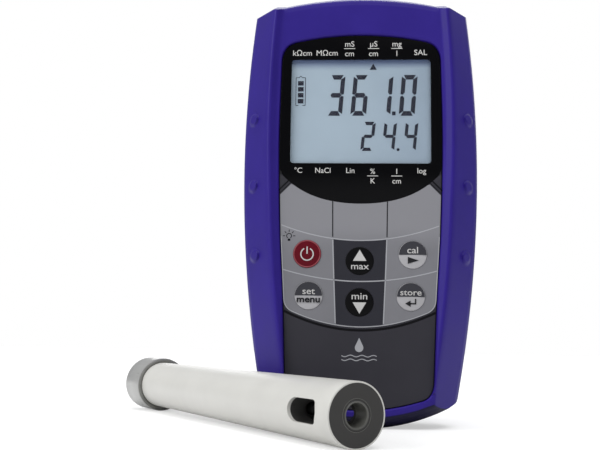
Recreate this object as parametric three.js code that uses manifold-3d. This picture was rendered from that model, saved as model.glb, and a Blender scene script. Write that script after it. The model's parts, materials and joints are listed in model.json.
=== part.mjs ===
// Handheld conductivity meter in a silicone boot, with its flow-through measuring probe.
// Millimetres. +X right, +Y from the face to the back, +Z up. The meter stands on its small
// flat foot, whose centre is the origin, and its face looks along -Y.
import * as THREE from 'three';
import { mergeVertices } from 'three/addons/utils/BufferGeometryUtils.js';
import Module from 'manifold-3d';

const wasm = await Module();
wasm.setup();

// ---- Driving dimensions ----

const gap = 0.3;                    // clearance between neighbouring pieces
const halfWidth = 42.8;             // boot, at its widest
const widestZ = 95;
const sideRadiusUpper = 470;        // the sides are two long curves that meet at widestZ
const sideRadiusLower = 455;
const topZ = 160;
const frontY = -18.5;               // the boot's ridge
const rearY = 18.5;
const footHalf = 8;
const footHalfDepth = 12;
const bottomRadius = 68;
const topCorner = { x: 31.7, z: 157 };
const topFlatX = 28;
const chamferSlope = 0.6;           // the two cut-off upper corners
const topRadius = 130;
const roofSlope = 0.475;             // in front of the middle the top slopes down to the face
const wideX = 46;                   // outside the widest side, where only the side curve cuts

// How far the side lies inside the full width, by depth: the bevel in front, round behind.
const bevel = [[frontY, 10.2], [-9, 3.3], [-3, 0], [3, 0], [12, 2.2], [rearY, 7]];

const bootWall = 3.4;
const bootEndWall = 4;              // thicker at the top and the foot
const housingWall = 2;
const housingFrontY = -13.9;
const housingRearY = 13.9;
const partingHalf = 0.8;            // each half stops here, and the gasket lies between

const faceFrontY = -15.4;           // raised face inside the boot's opening
const platformRearY = 17;
const platformInnerY = 10.4;
const overlayY = [-16.3, -15.7];
const windowY = [-16.4, -15.7];

const lcdHalf = 25.8;
const lcdZ = [89.9, 131.6];
const lcdY = [-15.1, -13.5];
const backlightY = [-13.2, -10.5];
const zebraHalf = 24;
const zebraZ = [90.1, 92.4];
const zebraY = [-13.2, -9.2];
const backlightLowZ = 92.8;

const keyRadius = 4.85;
const keyStemRadius = 2.4;
const keyY = [-16.8, -15.3, -13.1]; // cap front, cap back, stem end
const keyRecessY = -14.5;
const keys = {
  key_power: { x: -18.3, z: 59.3, colour: 0x9c1a2c },
  key_up: { x: 0, z: 57, colour: 0x141416 },
  key_calibrate: { x: 18.3, z: 59.3, colour: 0xb5b5b0 },
  key_set: { x: -17.6, z: 44.8, colour: 0xb5b5b0 },
  key_down: { x: 0, z: 42.7, colour: 0x141416 },
  key_store: { x: 17.6, z: 44.8, colour: 0xb5b5b0 },
};

const matY = [-12.2, -10.6, -9.2];  // dome tops, sheet front, sheet back
const matHalf = 24;
const matZ = [36, 68];
const domeTop = 2.6;
const domeFoot = 3.6;
const pcbY = [-8.9, -7.3];
const pcbHalf = 30;
const pcbZ = [20, 138];
const partsY = -7;                  // front face of what is soldered behind the board
const chipHeight = 1.4;
const microcontroller = { x: [-16, -2], z: [46, 60] };
const converter = { x: [6, 14], z: [104, 112] };
const quartz = { x: 6, z: [46, 56], radius: 1.5 };
const buzzer = { x: 16, z: 30, radius: 6, height: 5 };

const screws = [
  { x: -28, z: 143, headY: 13.6 },
  { x: 28, z: 143, headY: 13.6 },
  { x: -22.5, z: 15.5, headY: 16.6 },
  { x: 22.5, z: 15.5, headY: 16.6 },
];
const screwShank = 1.2;
const screwHead = 2.5;
const screwHeadHeight = 1.5;
const screwTipY = -6.5;
const bossRadius = 3.3;

const sockets = {
  sensor: { x: -13.5, body: 6.2, bore: 4.9, flange: 7.4, pins: 7, pinCircle: 3.1, bootHole: 9 },
  interface: { x: 14.5, body: 4.8, bore: 3.6, flange: 6.2, pins: 4, pinCircle: 1.9, bootHole: 7.6 },
};
const socketY = 4;
const socketZ = [143, 156.4, 157.6]; // inner end, under the flange, outer end
const socketSeatZ = 150;            // the housing rises from here to seat the flange
const pinBaseHeight = 1.6;
const socketFloorZ = 149;
const pinRadius = 0.5;
const pinTopZ = 153.2;
const nutZ = [145.6, 148];
const nutWall = 1.4;

const trayHalf = 14.7;
const trayZ = [19.3, 78.7];
const trayY = [2.4, 15.1];
const trayWall = 1.5;
const contactHalf = 11.5;
const contactY = [6.5, 13];
const contactThickness = 0.5;
const springPlateZ = 22.2;
const springRadius = [3.4, 1.8];    // at the plate, at the cell
const nubRadius = 1.9;
const sealY = [14.2, 15.1];
const sealWidth = 1.2;
const cellRadius = 5.1;
const cellX = 6;
const cellY = 9.4;
const cellZ = [27, 70.4, 71.5];     // flat end, shoulder, nub end
const coverHalf = 17;
const coverZ = [13.5, 83.5];
const coverY = [15.4, 17];
const coverScrewZ = [16.7, 81.3];
const coverScrewY = { head: 18, seat: 16.2, tip: 12.4, holeEnd: 11.4 };

const standHalf = 15.5;
const standZ = [86.5, 130];         // lower edge, pivot
const standThickness = 2.6;
const standBarrel = 1.9;
const standPivotY = 14.9;
const standRecess = { half: 16.2, z: [84.6, 132.6], y: 12.6 };
const standPin = { radius: 0.7, half: 18.6 };

const probeLength = 170;
const probeNear = { x: -1.2, y: -79.4 };
const probeTurn = 31.85;            // degrees, seen from above
const probeRoll = 2;
const tubeRadius = 9.05;
const tubeWall = 1.05;
const tubeEnd = 160;
const capRadius = 10.9;
const capLength = 17;
const capWall = 1.5;
const capFloor = 163.5;
const glandRadius = 4;
const glandBore = 2;
const glandLength = 8;
const glandThread = 3;
const coreLength = 30;
const boreRadius = 3.3;
const boreDepth = 24;
const slotStart = 6.7;
const slotLength = 16;
const slotHalf = 3.35;
const slotCorner = 0.9;
const slotReach = 12;
const rimStep = 0.45;               // the tube's face is this much smaller than the tube
const electrodeRadius = 1.5;
const electrodePlaces = [10.5, 18.7];
const sensorRadius = 1.7;
const sensorStart = 20.5;
const leadRadius = 1.5;
const sealMinor = 0.65;
const coreSealAt = 27;

// Facets round a circle, by the size and use of the piece.
const fine = 28;
const medium = 20;
const coarse = 12;

// ---- Solids ----

// A closed triangle mesh becomes a solid once its shared vertices are merged.
function solid(geometry) {
  geometry.deleteAttribute('normal');
  geometry.deleteAttribute('uv');
  const merged = mergeVertices(geometry, 1e-4);
  return new wasm.Manifold(new wasm.Mesh({
    numProp: 3,
    vertProperties: new Float32Array(merged.attributes.position.array),
    triVerts: new Uint32Array(merged.index.array),
  }));
}

function toGeometry(manifold) {
  const mesh = manifold.getMesh();
  const geometry = new THREE.BufferGeometry();
  geometry.setAttribute('position', new THREE.BufferAttribute(mesh.vertProperties, 3));
  geometry.setIndex(new THREE.BufferAttribute(mesh.triVerts, 1));
  geometry.computeVertexNormals();
  return geometry;
}

function box(x0, x1, y0, y1, z0, z1) {
  const geometry = new THREE.BoxGeometry(x1 - x0, y1 - y0, z1 - z0);
  geometry.translate((x0 + x1) / 2, (y0 + y1) / 2, (z0 + z1) / 2);
  return solid(geometry);
}

// A turned solid about the Y axis. The profile lists [radius, y] and closes on itself.
function turned(profile, segments = medium) {
  const points = profile.map(([radius, y]) => new THREE.Vector2(radius, y));
  points.push(points[0].clone());
  let made = solid(new THREE.LatheGeometry(points, segments));
  if (made.volume() < 0) {
    made = solid(new THREE.LatheGeometry(points.reverse(), segments));
  }
  return made;
}

function rodY(radius, y0, y1, segments = medium) {
  return turned([[0, y0], [radius, y0], [radius, y1], [0, y1]], segments);
}

function ringY(inner, outer, y0, y1, segments = medium) {
  return turned([[inner, y0], [outer, y0], [outer, y1], [inner, y1]], segments);
}

// Turns a solid made about Y so that its axis is Z, with its low end still low.
function upright(manifold) {
  return manifold.rotate([90, 0, 0]);
}

// A flat outline of [x, z] points made into a plate from y0 to y1.
function plate(outline, y0, y1) {
  const shape = new THREE.Shape(outline.map(([x, z]) => new THREE.Vector2(x, z)));
  const options = { depth: y1 - y0, bevelEnabled: false, curveSegments: 8 };
  const geometry = new THREE.ExtrudeGeometry(shape, options);
  geometry.rotateX(Math.PI / 2);
  geometry.translate(0, y1, 0);
  return solid(geometry);
}

// Joins rings of the same number of points, and closes both ends.
function loft(rings, flatten) {
  const count = rings[0].length;
  const positions = rings.flat().flatMap((p) => [p.x, p.y, p.z]);
  const faces = [];
  for (let i = 0; i + 1 < rings.length; i += 1) {
    for (let j = 0; j < count; j += 1) {
      const a = i * count + j;
      const b = i * count + (j + 1) % count;
      faces.push([a, b, b + count], [a, b + count, a + count]);
    }
  }
  const last = (rings.length - 1) * count;
  for (const [a, b, c] of THREE.ShapeUtils.triangulateShape(rings[0].map(flatten), [])) {
    faces.push([a, c, b]);
  }
  for (const [a, b, c] of THREE.ShapeUtils.triangulateShape(rings[rings.length - 1].map(flatten), [])) {
    faces.push([a + last, b + last, c + last]);
  }
  const build = (list) => {
    const geometry = new THREE.BufferGeometry();
    geometry.setAttribute('position', new THREE.Float32BufferAttribute(positions, 3));
    geometry.setIndex(list.flat());
    return solid(geometry);
  };
  const made = build(faces);
  return made.volume() > 0 ? made : build(faces.map(([a, b, c]) => [a, c, b]));
}

// ---- Outlines ----

function sideAt(z) {
  const radius = z > widestZ ? sideRadiusUpper : sideRadiusLower;
  return halfWidth - (z - widestZ) ** 2 / (2 * radius);
}

function bevelAt(y) {
  for (let i = 0; i + 1 < bevel.length; i += 1) {
    const [y0, inset0] = bevel[i];
    const [y1, inset1] = bevel[i + 1];
    if (y <= y1) {
      return inset0 + (inset1 - inset0) * (y - y0) / (y1 - y0);
    }
  }
  return bevel[bevel.length - 1][1];
}

// The right half, from the bottom centre to the top centre, repeated on the left.
function mirrored(half) {
  const left = half.filter(([x]) => x > 0).map(([x, z]) => [-x, z]).reverse();
  return [...half, ...left];
}

// Foot, bottom curve, cut-off corners and top curve, with the sides left wide.
function endOutline(bottomInset, topInset) {
  const half = [[footHalf, bottomInset]];
  const start = Math.sqrt(bottomRadius ** 2 - footHalf ** 2);
  for (let i = 1; i <= 6; i += 1) {
    const x = footHalf + (wideX - footHalf) * i / 6;
    half.push([x, bottomInset + start - Math.sqrt(bottomRadius ** 2 - x ** 2)]);
  }
  half.push([wideX, topCorner.z - topInset - (wideX - topCorner.x) * chamferSlope]);
  half.push([topCorner.x, topCorner.z - topInset]);
  for (let i = 0; i <= 4; i += 1) {
    const x = topFlatX * (1 - i / 4);
    half.push([x, topZ - topInset - topRadius + Math.sqrt(topRadius ** 2 - x ** 2)]);
  }
  return mirrored(half);
}

// One rounded body: the side profile along Z, cut by the end outline along Y.
// endStations list [y, extra inset at the foot, extra inset at the top].
function shellBody(sideInset, endInset, y0, y1, endStations) {
  const profile = [[y0, bevelAt(y0)], ...bevel.filter(([y]) => y > y0 && y < y1), [y1, bevelAt(y1)]];
  const levels = [-2, 18, 42, 68, widestZ, 122, 145, 162];
  const sideRings = levels.map((z) => {
    const right = profile.map(([y, inset]) => new THREE.Vector3(sideAt(z) - inset - sideInset, y, z));
    const left = right.map((p) => new THREE.Vector3(-p.x, p.y, z)).reverse();
    return [...right, ...left];
  });
  const sides = loft(sideRings, (p) => new THREE.Vector2(p.x, p.y));
  const endRings = endStations.map(([y, foot, top]) => (
    endOutline(endInset + foot, endInset + top).map(([x, z]) => new THREE.Vector3(x, y, z))
  ));
  const ends = loft(endRings, (p) => new THREE.Vector2(p.x, p.z));
  return sides.intersect(ends);
}

function roofDrop(y) {
  return roofSlope * Math.max(0, -y);
}

// End stations of the housing, which keeps a little more room than the boot at foot and top.
function housingEnds(y0, y1) {
  return [y0, 0, y1].map((y) => [y, 1.4, 0.8 + roofDrop(y)]);
}

// The boot's opening, front and back alike, which frames the raised face.
const openingTop = 139.1;
const openingBottom = 6.1;
function openingOutline(inset) {
  const bottomCurve = (x) => openingBottom + x ** 2 / 132 + inset;
  const topCurve = (x) => openingTop - x ** 2 / 210 - inset;
  const half = [0, 7, 14, 20.5].map((x) => [x, bottomCurve(x)]);
  const corner = (from, control, to) => {
    const points = new THREE.QuadraticBezierCurve(from, control, to).getPoints(3).slice(1);
    points.forEach((p) => half.push([p.x, p.y]));
  };
  const v = (x, z) => new THREE.Vector2(x, z);
  corner(v(20.5, bottomCurve(20.5)), v(25 - inset, bottomCurve(23)), v(25.5 - inset, 15.5));
  const side = new THREE.SplineCurve([
    v(25.5, 15.5), v(26.7, 45), v(28.2, 70), v(28.95, 100), v(28.5, 129.5),
  ]);
  side.getPoints(6).slice(1).forEach((p) => half.push([p.x - inset, p.y]));
  corner(v(28.5 - inset, 129.5), v(28.1 - inset, topCurve(27.5)), v(23, topCurve(23)));
  [15.5, 8, 0].forEach((x) => half.push([x, topCurve(x)]));
  return mirrored(half);
}

// The dark window's lower edge.
function windowEdge(x) {
  return 77.3 + 0.00825 * x ** 2 + 6.75e-6 * x ** 4;
}

function aboveWindowEdge(shift, y0, y1) {
  const outline = [];
  for (let x = -32; x <= 32; x += 4) {
    outline.push([x, windowEdge(x) + shift]);
  }
  outline.push([32, topZ], [-32, topZ]);
  return plate(outline, y0, y1);
}

// ---- The scene graph ----

const object = new THREE.Group();
const probe = new THREE.Group();

function add(name, manifold, color, roughness = 0.6, metalness = 0, parent = object) {
  const material = new THREE.MeshStandardMaterial({ color, roughness, metalness });
  const mesh = new THREE.Mesh(toGeometry(manifold), material);
  mesh.name = name;
  parent.add(mesh);
}

const indigo = 0x3f3091;
const darkPlastic = 0x33333a;
const steel = 0xb9bbbe;
const brass = 0xc0a35a;
const black = 0x151517;

// ---- Boot ----

function makeBoot() {
  let boot = shellBody(0, 0, frontY, rearY, [
    [frontY, 3.2, roofDrop(frontY)], [-footHalfDepth, 0, roofDrop(-footHalfDepth)],
    [0, 0, 0], [footHalfDepth, 0, 0], [rearY, 4, 3],
  ]);
  const room = [housingFrontY - gap, housingRearY + gap];
  boot = boot.subtract(shellBody(bootWall - gap, bootEndWall - gap, ...room, housingEnds(...room)));
  boot = boot.subtract(plate(openingOutline(0), frontY - 1, 0));
  boot = boot.subtract(plate(openingOutline(0), 0, rearY + 1));
  for (const { x, bootHole } of Object.values(sockets)) {
    boot = boot.subtract(upright(rodY(bootHole, 140, topZ + 2)).translate([x, socketY, 0]));
  }
  add('silicone_boot', boot, indigo, 0.75);
}

// ---- Housing halves and the gasket between them ----

function makeHousing() {
  const outer = shellBody(bootWall, bootEndWall, housingFrontY, housingRearY,
    housingEnds(housingFrontY, housingRearY));
  const within = [housingFrontY + housingWall, housingRearY - housingWall];
  const cavity = shellBody(bootWall + housingWall, bootEndWall + housingWall, ...within,
    housingEnds(...within));
  const shell = outer.subtract(cavity);
  const everything = 60;
  const frontHalf = box(-everything, everything, -everything, -partingHalf, -10, 170);
  const rearHalf = box(-everything, everything, partingHalf, everything, -10, 170);
  const seam = box(-everything, everything, gap - partingHalf, partingHalf - gap, -10, 170);

  let front = shell.intersect(frontHalf);
  front = front.add(plate(openingOutline(0.4), faceFrontY, faceFrontY + housingWall));
  front = front.subtract(plate(openingOutline(3), faceFrontY + housingWall, -housingWall));
  let rear = shell.intersect(rearHalf);
  rear = rear.add(plate(openingOutline(0.4), platformInnerY, platformRearY));
  for (const { x, z, headY } of screws) {
    const boss = rodY(bossRadius, faceFrontY + 1, -partingHalf, coarse).translate([x, 0, z]);
    front = front.add(boss.intersect(outer));
    rear = rear.add(rodY(bossRadius, partingHalf, housingRearY - 0.5, coarse).translate([x, 0, z]));
    front = front.subtract(rodY(screwShank + gap, screwTipY - gap, 1, coarse).translate([x, 0, z]));
    rear = rear.subtract(rodY(screwShank + gap, 0, rearY, coarse).translate([x, 0, z]));
    const seat = headY - screwHeadHeight - gap;
    rear = rear.subtract(rodY(screwHead + gap, seat, rearY, coarse).translate([x, 0, z]));
  }
  for (const { x, body, flange } of Object.values(sockets)) {
    const seat = upright(rodY(flange, socketSeatZ, socketZ[1] - gap)).translate([x, socketY, 0]);
    const hole = upright(rodY(body + gap, 140, topZ)).translate([x, socketY, 0]);
    front = front.add(seat.intersect(frontHalf)).subtract(hole);
    rear = rear.add(seat.intersect(rearHalf)).subtract(hole);
  }

  front = front.subtract(box(-lcdHalf - gap, lcdHalf + gap, -20, housingFrontY + 3,
    lcdZ[0] - gap, lcdZ[1] + gap));
  for (const { x, z } of Object.values(keys)) {
    front = front.subtract(rodY(keyRadius + gap, -20, keyRecessY).translate([x, 0, z]));
    front = front.subtract(rodY(keyStemRadius + gap, -20, 0, coarse).translate([x, 0, z]));
  }

  rear = rear.subtract(box(-trayHalf - gap, trayHalf + gap, 0, rearY, trayZ[0] - gap, trayZ[1] + gap));
  rear = rear.subtract(box(-coverHalf - gap, coverHalf + gap, coverY[0] - gap, rearY,
    coverZ[0] - gap, coverZ[1] + gap));
  for (const z of coverScrewZ) {
    rear = rear.subtract(rodY(screwShank + gap, coverScrewY.holeEnd, rearY, coarse).translate([0, 0, z]));
  }
  rear = rear.subtract(box(-standRecess.half, standRecess.half, standRecess.y, rearY,
    standRecess.z[0], standRecess.z[1]));
  const pinHole = rodY(standPin.radius + gap, -standPin.half - gap, standPin.half + gap, coarse)
    .rotate([0, 0, 90]).translate([0, standPivotY, standZ[1]]);
  rear = rear.subtract(pinHole);

  add('front_housing', front, darkPlastic, 0.5);
  add('rear_housing', rear, darkPlastic, 0.5);

  let gasket = shell.intersect(seam);
  for (const { x, body } of Object.values(sockets)) {
    gasket = gasket.subtract(upright(rodY(body + gap, 140, topZ)).translate([x, socketY, 0]));
  }
  add('housing_gasket', keepLargest(gasket), 0x26262a, 0.9);
  for (const [index, { x, z, headY }] of screws.entries()) {
    add(`housing_screw_${index + 1}`, screw(headY, screwTipY).translate([x, 0, z]), steel, 0.35, 0.9);
  }
}

function keepLargest(manifold) {
  return manifold.decompose().reduce((best, one) => (one.volume() > best.volume() ? one : best));
}

// A pan-head screw along Y with a drive socket, its head at the back.
function screw(headY, tipY) {
  const under = headY - screwHeadHeight;
  const body = turned([[0, tipY], [screwShank, tipY + 1], [screwShank, under], [screwHead, under],
    [screwHead, headY - 0.4], [screwHead - 0.4, headY], [0, headY]], coarse);
  return body.subtract(rodY(0.9, headY - 0.9, headY + 1, 6));
}

// ---- Face: overlay, window and keys ----

function makeFace() {
  const face = openingOutline(0.7);
  let overlay = plate(face, overlayY[0], overlayY[1]);
  overlay = overlay.subtract(aboveWindowEdge(-gap, overlayY[0] - 1, overlayY[1] + 1));
  for (const { x, z } of Object.values(keys)) {
    overlay = overlay.subtract(rodY(keyRadius + gap, -20, 0).translate([x, 0, z]));
  }
  add('keypad_overlay', overlay, 0x8a8b8f, 0.55);

  const lens = plate(face, windowY[0], windowY[1]).intersect(aboveWindowEdge(0, -20, 0));
  add('display_window', lens, 0x121214, 0.15);

  for (const [name, { x, z, colour }] of Object.entries(keys)) {
    const [front, back, end] = keyY;
    const key = turned([[0, front], [keyRadius - 0.5, front + 0.05], [keyRadius, front + 0.4],
      [keyRadius, back], [keyStemRadius, back], [keyStemRadius, end], [0, end]]);
    add(name, key.translate([x, 0, z]), colour, 0.45);
  }
}

// ---- Display stack and electronics ----

function makeElectronics() {
  add('lcd_glass', box(-lcdHalf, lcdHalf, ...lcdY, ...lcdZ), 0xa8bcc8, 0.2);
  add('lcd_backlight', box(-lcdHalf, lcdHalf, ...backlightY, backlightLowZ, lcdZ[1]), 0xeeeeea, 0.4);
  add('lcd_contact_strip', box(-zebraHalf, zebraHalf, ...zebraY, ...zebraZ), 0x3a3a3e, 0.8);

  let mat = box(-matHalf, matHalf, matY[1], matY[2], ...matZ);
  const domeBack = matY[1] + 0.2;
  const dome = turned([[0, matY[0]], [domeTop, matY[0]], [domeFoot, domeBack], [0, domeBack]], coarse);
  for (const { x, z } of Object.values(keys)) {
    mat = mat.add(dome.translate([x, 0, z]));
  }
  add('keypad_mat', mat, 0x4a4b50, 0.9);

  let board = box(-pcbHalf, pcbHalf, ...pcbY, ...pcbZ);
  for (const { x, z } of screws) {
    board = board.subtract(rodY(bossRadius + 2 * gap, -20, 0, coarse).translate([x, 0, z]));
  }
  add('main_board', board.intersect(plate(openingOutline(-2), -20, 0)), 0x1f5a3a, 0.5);
  const chip = ({ x, z }) => box(...x, partsY, partsY + chipHeight, ...z);
  add('microcontroller', chip(microcontroller), black, 0.5);
  add('converter_chip', chip(converter), black, 0.5);
  const can = upright(rodY(quartz.radius, ...quartz.z, coarse));
  add('quartz_crystal', can.translate([quartz.x, partsY + quartz.radius, 0]), steel, 0.3, 0.9);
  const sounder = rodY(buzzer.radius, partsY, partsY + buzzer.height, coarse);
  add('buzzer', sounder.translate([buzzer.x, 0, buzzer.z]), black, 0.5);
}

// ---- Sockets in the top ----

function makeSockets() {
  for (const [name, s] of Object.entries(sockets)) {
    const [inner, under, outer] = socketZ;
    const shell = upright(turned([[s.bore, outer], [s.flange - 0.5, outer], [s.flange, outer - 0.5],
      [s.flange, under], [s.body, under], [s.body, inner], [0, inner], [0, socketFloorZ],
      [s.bore, socketFloorZ]]));
    add(`${name}_socket`, shell.translate([s.x, socketY, 0]), steel, 0.35, 0.9);

    const floor = socketFloorZ + gap;
    let insert = upright(rodY(s.bore - gap, floor, floor + pinBaseHeight, coarse));
    for (let i = 0; i < s.pins; i += 1) {
      const angle = 2 * Math.PI * i / s.pins;
      insert = insert.add(upright(rodY(pinRadius, floor + 1, pinTopZ, 6))
        .translate([s.pinCircle * Math.cos(angle), s.pinCircle * Math.sin(angle), 0]));
    }
    add(`${name}_socket_pins`, insert.translate([s.x, socketY, 0]), brass, 0.3, 0.9);

    const nut = upright(ringY(s.body + gap, s.body + gap + nutWall, nutZ[0], nutZ[1], 6));
    const opened = nut.subtract(upright(rodY(s.body + gap, nutZ[0] - 1, nutZ[1] + 1, coarse)));
    add(`${name}_socket_nut`, opened.add(upright(ringY(s.body + gap, s.body + gap + 0.8, ...nutZ, coarse)))
      .translate([s.x, socketY, 0]), steel, 0.4, 0.9);
  }
}

// ---- Battery compartment ----

function makeBattery() {
  const tray = box(-trayHalf, trayHalf, ...trayY, ...trayZ)
    .subtract(box(-trayHalf + trayWall, trayHalf - trayWall, trayY[0] + trayWall, rearY,
      trayZ[0] + trayWall, trayZ[1] - trayWall));
  add('battery_tray', tray, 0x2b2b30, 0.6);
  const [flat, shoulder, nub] = cellZ;
  for (const side of [-1, 1]) {
    const cell = upright(turned([[0, flat], [cellRadius, flat], [cellRadius, shoulder],
      [nubRadius, shoulder], [nubRadius, nub], [0, nub]], coarse)).translate([side * cellX, cellY, 0]);
    add(`battery_cell_${side < 0 ? 1 : 2}`, cell, 0x9a9ca0, 0.35, 0.6);
  }
  const contact = (z) => box(-contactHalf, contactHalf, ...contactY, z, z + contactThickness);
  add('battery_contact_top', contact(nub + gap), steel, 0.3, 0.9);
  let springPlate = contact(springPlateZ);
  const springFoot = springPlateZ + contactThickness / 2;
  const spring = upright(turned([[0, springFoot], [springRadius[0], springFoot],
    [springRadius[1], flat - gap], [0, flat - gap]], coarse));
  for (const side of [-1, 1]) {
    springPlate = springPlate.add(spring.translate([side * cellX, cellY, 0]));
  }
  add('battery_contact_springs', springPlate, steel, 0.3, 0.9);

  const rim = trayHalf - trayWall - gap;
  const lip = trayZ[0] + trayWall + gap;
  const lipTop = trayZ[1] - trayWall - gap;
  const seal = box(-rim, rim, ...sealY, lip, lipTop)
    .subtract(box(-rim + sealWidth, rim - sealWidth, 10, 20, lip + sealWidth, lipTop - sealWidth));
  add('battery_cover_seal', seal, 0x26262a, 0.9);
  let cover = box(-coverHalf, coverHalf, ...coverY, ...coverZ);
  for (const [index, z] of coverScrewZ.entries()) {
    cover = cover.subtract(rodY(screwShank + gap, 10, 20, coarse).translate([0, 0, z]));
    cover = cover.subtract(rodY(screwHead + gap, coverScrewY.seat, 20, coarse).translate([0, 0, z]));
    add(`battery_cover_screw_${index + 1}`, screw(coverScrewY.head, coverScrewY.tip).translate([0, 0, z]),
      steel, 0.35, 0.9);
  }
  add('battery_cover', cover, darkPlastic, 0.55);
}

// ---- Tilt stand ----

function makeStand() {
  const outer = standPivotY + standBarrel;
  let stand = box(-standHalf, standHalf, outer - standThickness, outer, standZ[0], standZ[1]);
  stand = stand.add(rodY(standBarrel, -standHalf, standHalf, coarse).rotate([0, 0, 90])
    .translate([0, standPivotY, standZ[1]]));
  const bore = rodY(standPin.radius + 0.05, -standHalf - 1, standHalf + 1, coarse).rotate([0, 0, 90]);
  stand = stand.subtract(bore.translate([0, standPivotY, standZ[1]]));
  add('tilt_stand', stand, darkPlastic, 0.5);
  const pin = rodY(standPin.radius - 0.1, -standPin.half, standPin.half, coarse).rotate([0, 0, 90]);
  add('tilt_stand_pin', pin.translate([0, standPivotY, standZ[1]]), steel, 0.3, 0.9);
}

// ---- Probe, drawn with its tip at the origin and its axis along +Y ----

// A slot with a round rear end and a nearly square front end, cut across the probe along X.
function flowSlot(start, length, half, reach) {
  const shape = new THREE.Shape();
  const round = start + length - half;
  shape.moveTo(start, -half + slotCorner);
  shape.quadraticCurveTo(start, -half, start + slotCorner, -half);
  shape.lineTo(round, -half);
  shape.absarc(round, 0, half, -Math.PI / 2, Math.PI / 2, false);
  shape.lineTo(start + slotCorner, half);
  shape.quadraticCurveTo(start, half, start, half - slotCorner);
  const options = { depth: 2 * reach, bevelEnabled: false, curveSegments: 6 };
  const geometry = new THREE.ExtrudeGeometry(shape, options);
  geometry.translate(0, 0, -reach);
  // the shape's x runs along Y, its y along Z, and its depth along X
  geometry.applyMatrix4(new THREE.Matrix4().makeBasis(
    new THREE.Vector3(0, 1, 0), new THREE.Vector3(0, 0, 1), new THREE.Vector3(1, 0, 0)));
  return solid(geometry);
}

function torusY(major, minor, y) {
  const geometry = new THREE.TorusGeometry(major, minor, 6, medium);
  geometry.rotateX(Math.PI / 2);
  geometry.translate(0, y, 0);
  return solid(geometry);
}

function makeProbe() {
  const inner = tubeRadius - tubeWall;
  const rim = tubeRadius - rimStep;
  let tube = turned([[rim, 0], [tubeRadius - 0.15, 0], [tubeRadius, 0.15], [tubeRadius, tubeEnd],
    [inner, tubeEnd], [inner, 0.6]], fine);
  tube = tube.subtract(flowSlot(slotStart, slotLength, slotHalf, slotReach));
  add('probe_tube', tube, 0xd0cfca, 0.5, 0, probe);

  const coreRadius = inner - gap;
  const groove = coreSealAt + sealMinor + gap;
  const grooveFloor = coreRadius - 2 * sealMinor;
  let core = turned([[boreRadius + 0.7, 0.1], [rim - gap, 0.1], [coreRadius, 0.7],
    [coreRadius, 2 * coreSealAt - groove], [grooveFloor, 2 * coreSealAt - groove],
    [grooveFloor, groove], [coreRadius, groove], [coreRadius, coreLength], [0, coreLength],
    [0, boreDepth], [boreRadius, boreDepth], [boreRadius, 0.8]]);
  core = core.subtract(flowSlot(slotStart - 0.1, slotLength + 0.1, slotHalf + 0.1, slotReach));
  core = core.subtract(rodY(sensorRadius + gap, boreDepth - 1, coreLength + 1, coarse));
  for (const y of electrodePlaces) {
    core = core.subtract(upright(rodY(electrodeRadius + gap, -10, 10, coarse)).translate([0, y, 0]));
  }
  add('cell_core', core, 0x454543, 0.6, 0, probe);

  let index = 1;
  for (const y of electrodePlaces) {
    for (const side of [-1, 1]) {
      const ends = [side * (boreRadius + 0.1), side * (coreRadius - 0.2)].sort((a, b) => a - b);
      const electrode = upright(rodY(electrodeRadius, ...ends, coarse)).translate([0, y, 0]);
      add(`electrode_${index}`, electrode, 0x222224, 0.4, 0.2, probe);
      index += 1;
    }
  }
  const sensor = turned([[0, sensorStart], [1, sensorStart + 0.2], [sensorRadius, sensorStart + 1],
    [sensorRadius, coreLength], [0, coreLength]], coarse);
  add('temperature_sensor', sensor, steel, 0.25, 0.9, probe);
  add('core_seal_ring', torusY(coreRadius - sealMinor + 0.05, sealMinor, coreSealAt), black, 0.9, 0, probe);

  const capStart = probeLength - capLength;
  const capInner = capRadius - capWall;
  const cap = turned([[capInner, capStart], [capRadius - 0.3, capStart], [capRadius, capStart + 0.3],
    [capRadius, probeLength - 0.6], [capRadius - 0.6, probeLength], [glandThread + gap, probeLength],
    [glandThread + gap, capFloor], [capInner, capFloor]], fine);
  add('probe_end_cap', cap, 0xa5a5a8, 0.5, 0, probe);
  const closer = turned([[leadRadius + gap, tubeEnd - 8], [inner - gap, tubeEnd - 8],
    [inner - gap, capFloor - 1.5], [leadRadius + gap, capFloor - 1.5]]);
  add('tube_plug', closer, 0x2e2e31, 0.8, 0, probe);
  const glandEnd = probeLength + glandLength;
  const collar = probeLength + gap;
  const gland = turned([[glandBore, capFloor + 1], [glandThread, capFloor + 1], [glandThread, collar],
    [glandRadius, collar], [glandRadius, glandEnd - 1], [glandRadius - 1, glandEnd],
    [glandBore, glandEnd]], coarse);
  add('cable_gland', gland, 0x2e2e31, 0.6, 0, probe);
  const leads = rodY(leadRadius, coreLength + gap, capFloor + 4, coarse);
  add('sensor_leads', leads, 0x2a2a2c, 0.7, 0, probe);
}

// The tip's tube and the cap's front edge both rest on the surface.
function placeProbe() {
  const reach = probeLength - capLength;
  const tilt = Math.asin((capRadius - tubeRadius) / reach);
  const tilted = new THREE.Group();
  tilted.rotation.x = tilt;
  probe.rotation.y = THREE.MathUtils.degToRad(probeRoll);
  tilted.add(probe);
  const turnedGroup = new THREE.Group();
  turnedGroup.rotation.z = THREE.MathUtils.degToRad(probeTurn);
  turnedGroup.position.set(probeNear.x, probeNear.y, tubeRadius * Math.cos(tilt));
  turnedGroup.add(tilted);
  object.add(turnedGroup);
}

makeBoot();
makeHousing();
makeFace();
makeElectronics();
makeSockets();
makeBattery();
makeStand();
makeProbe();
placeProbe();

export default object;
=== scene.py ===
# Handheld conductivity meter in its silicone boot, with its flow-through measuring probe.
# Lengths below are millimetres in the row's frame: +X right, +Y from face to back, +Z up.
import json
import math

import bmesh
import bpy
from mathutils import Matrix, Vector


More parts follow.
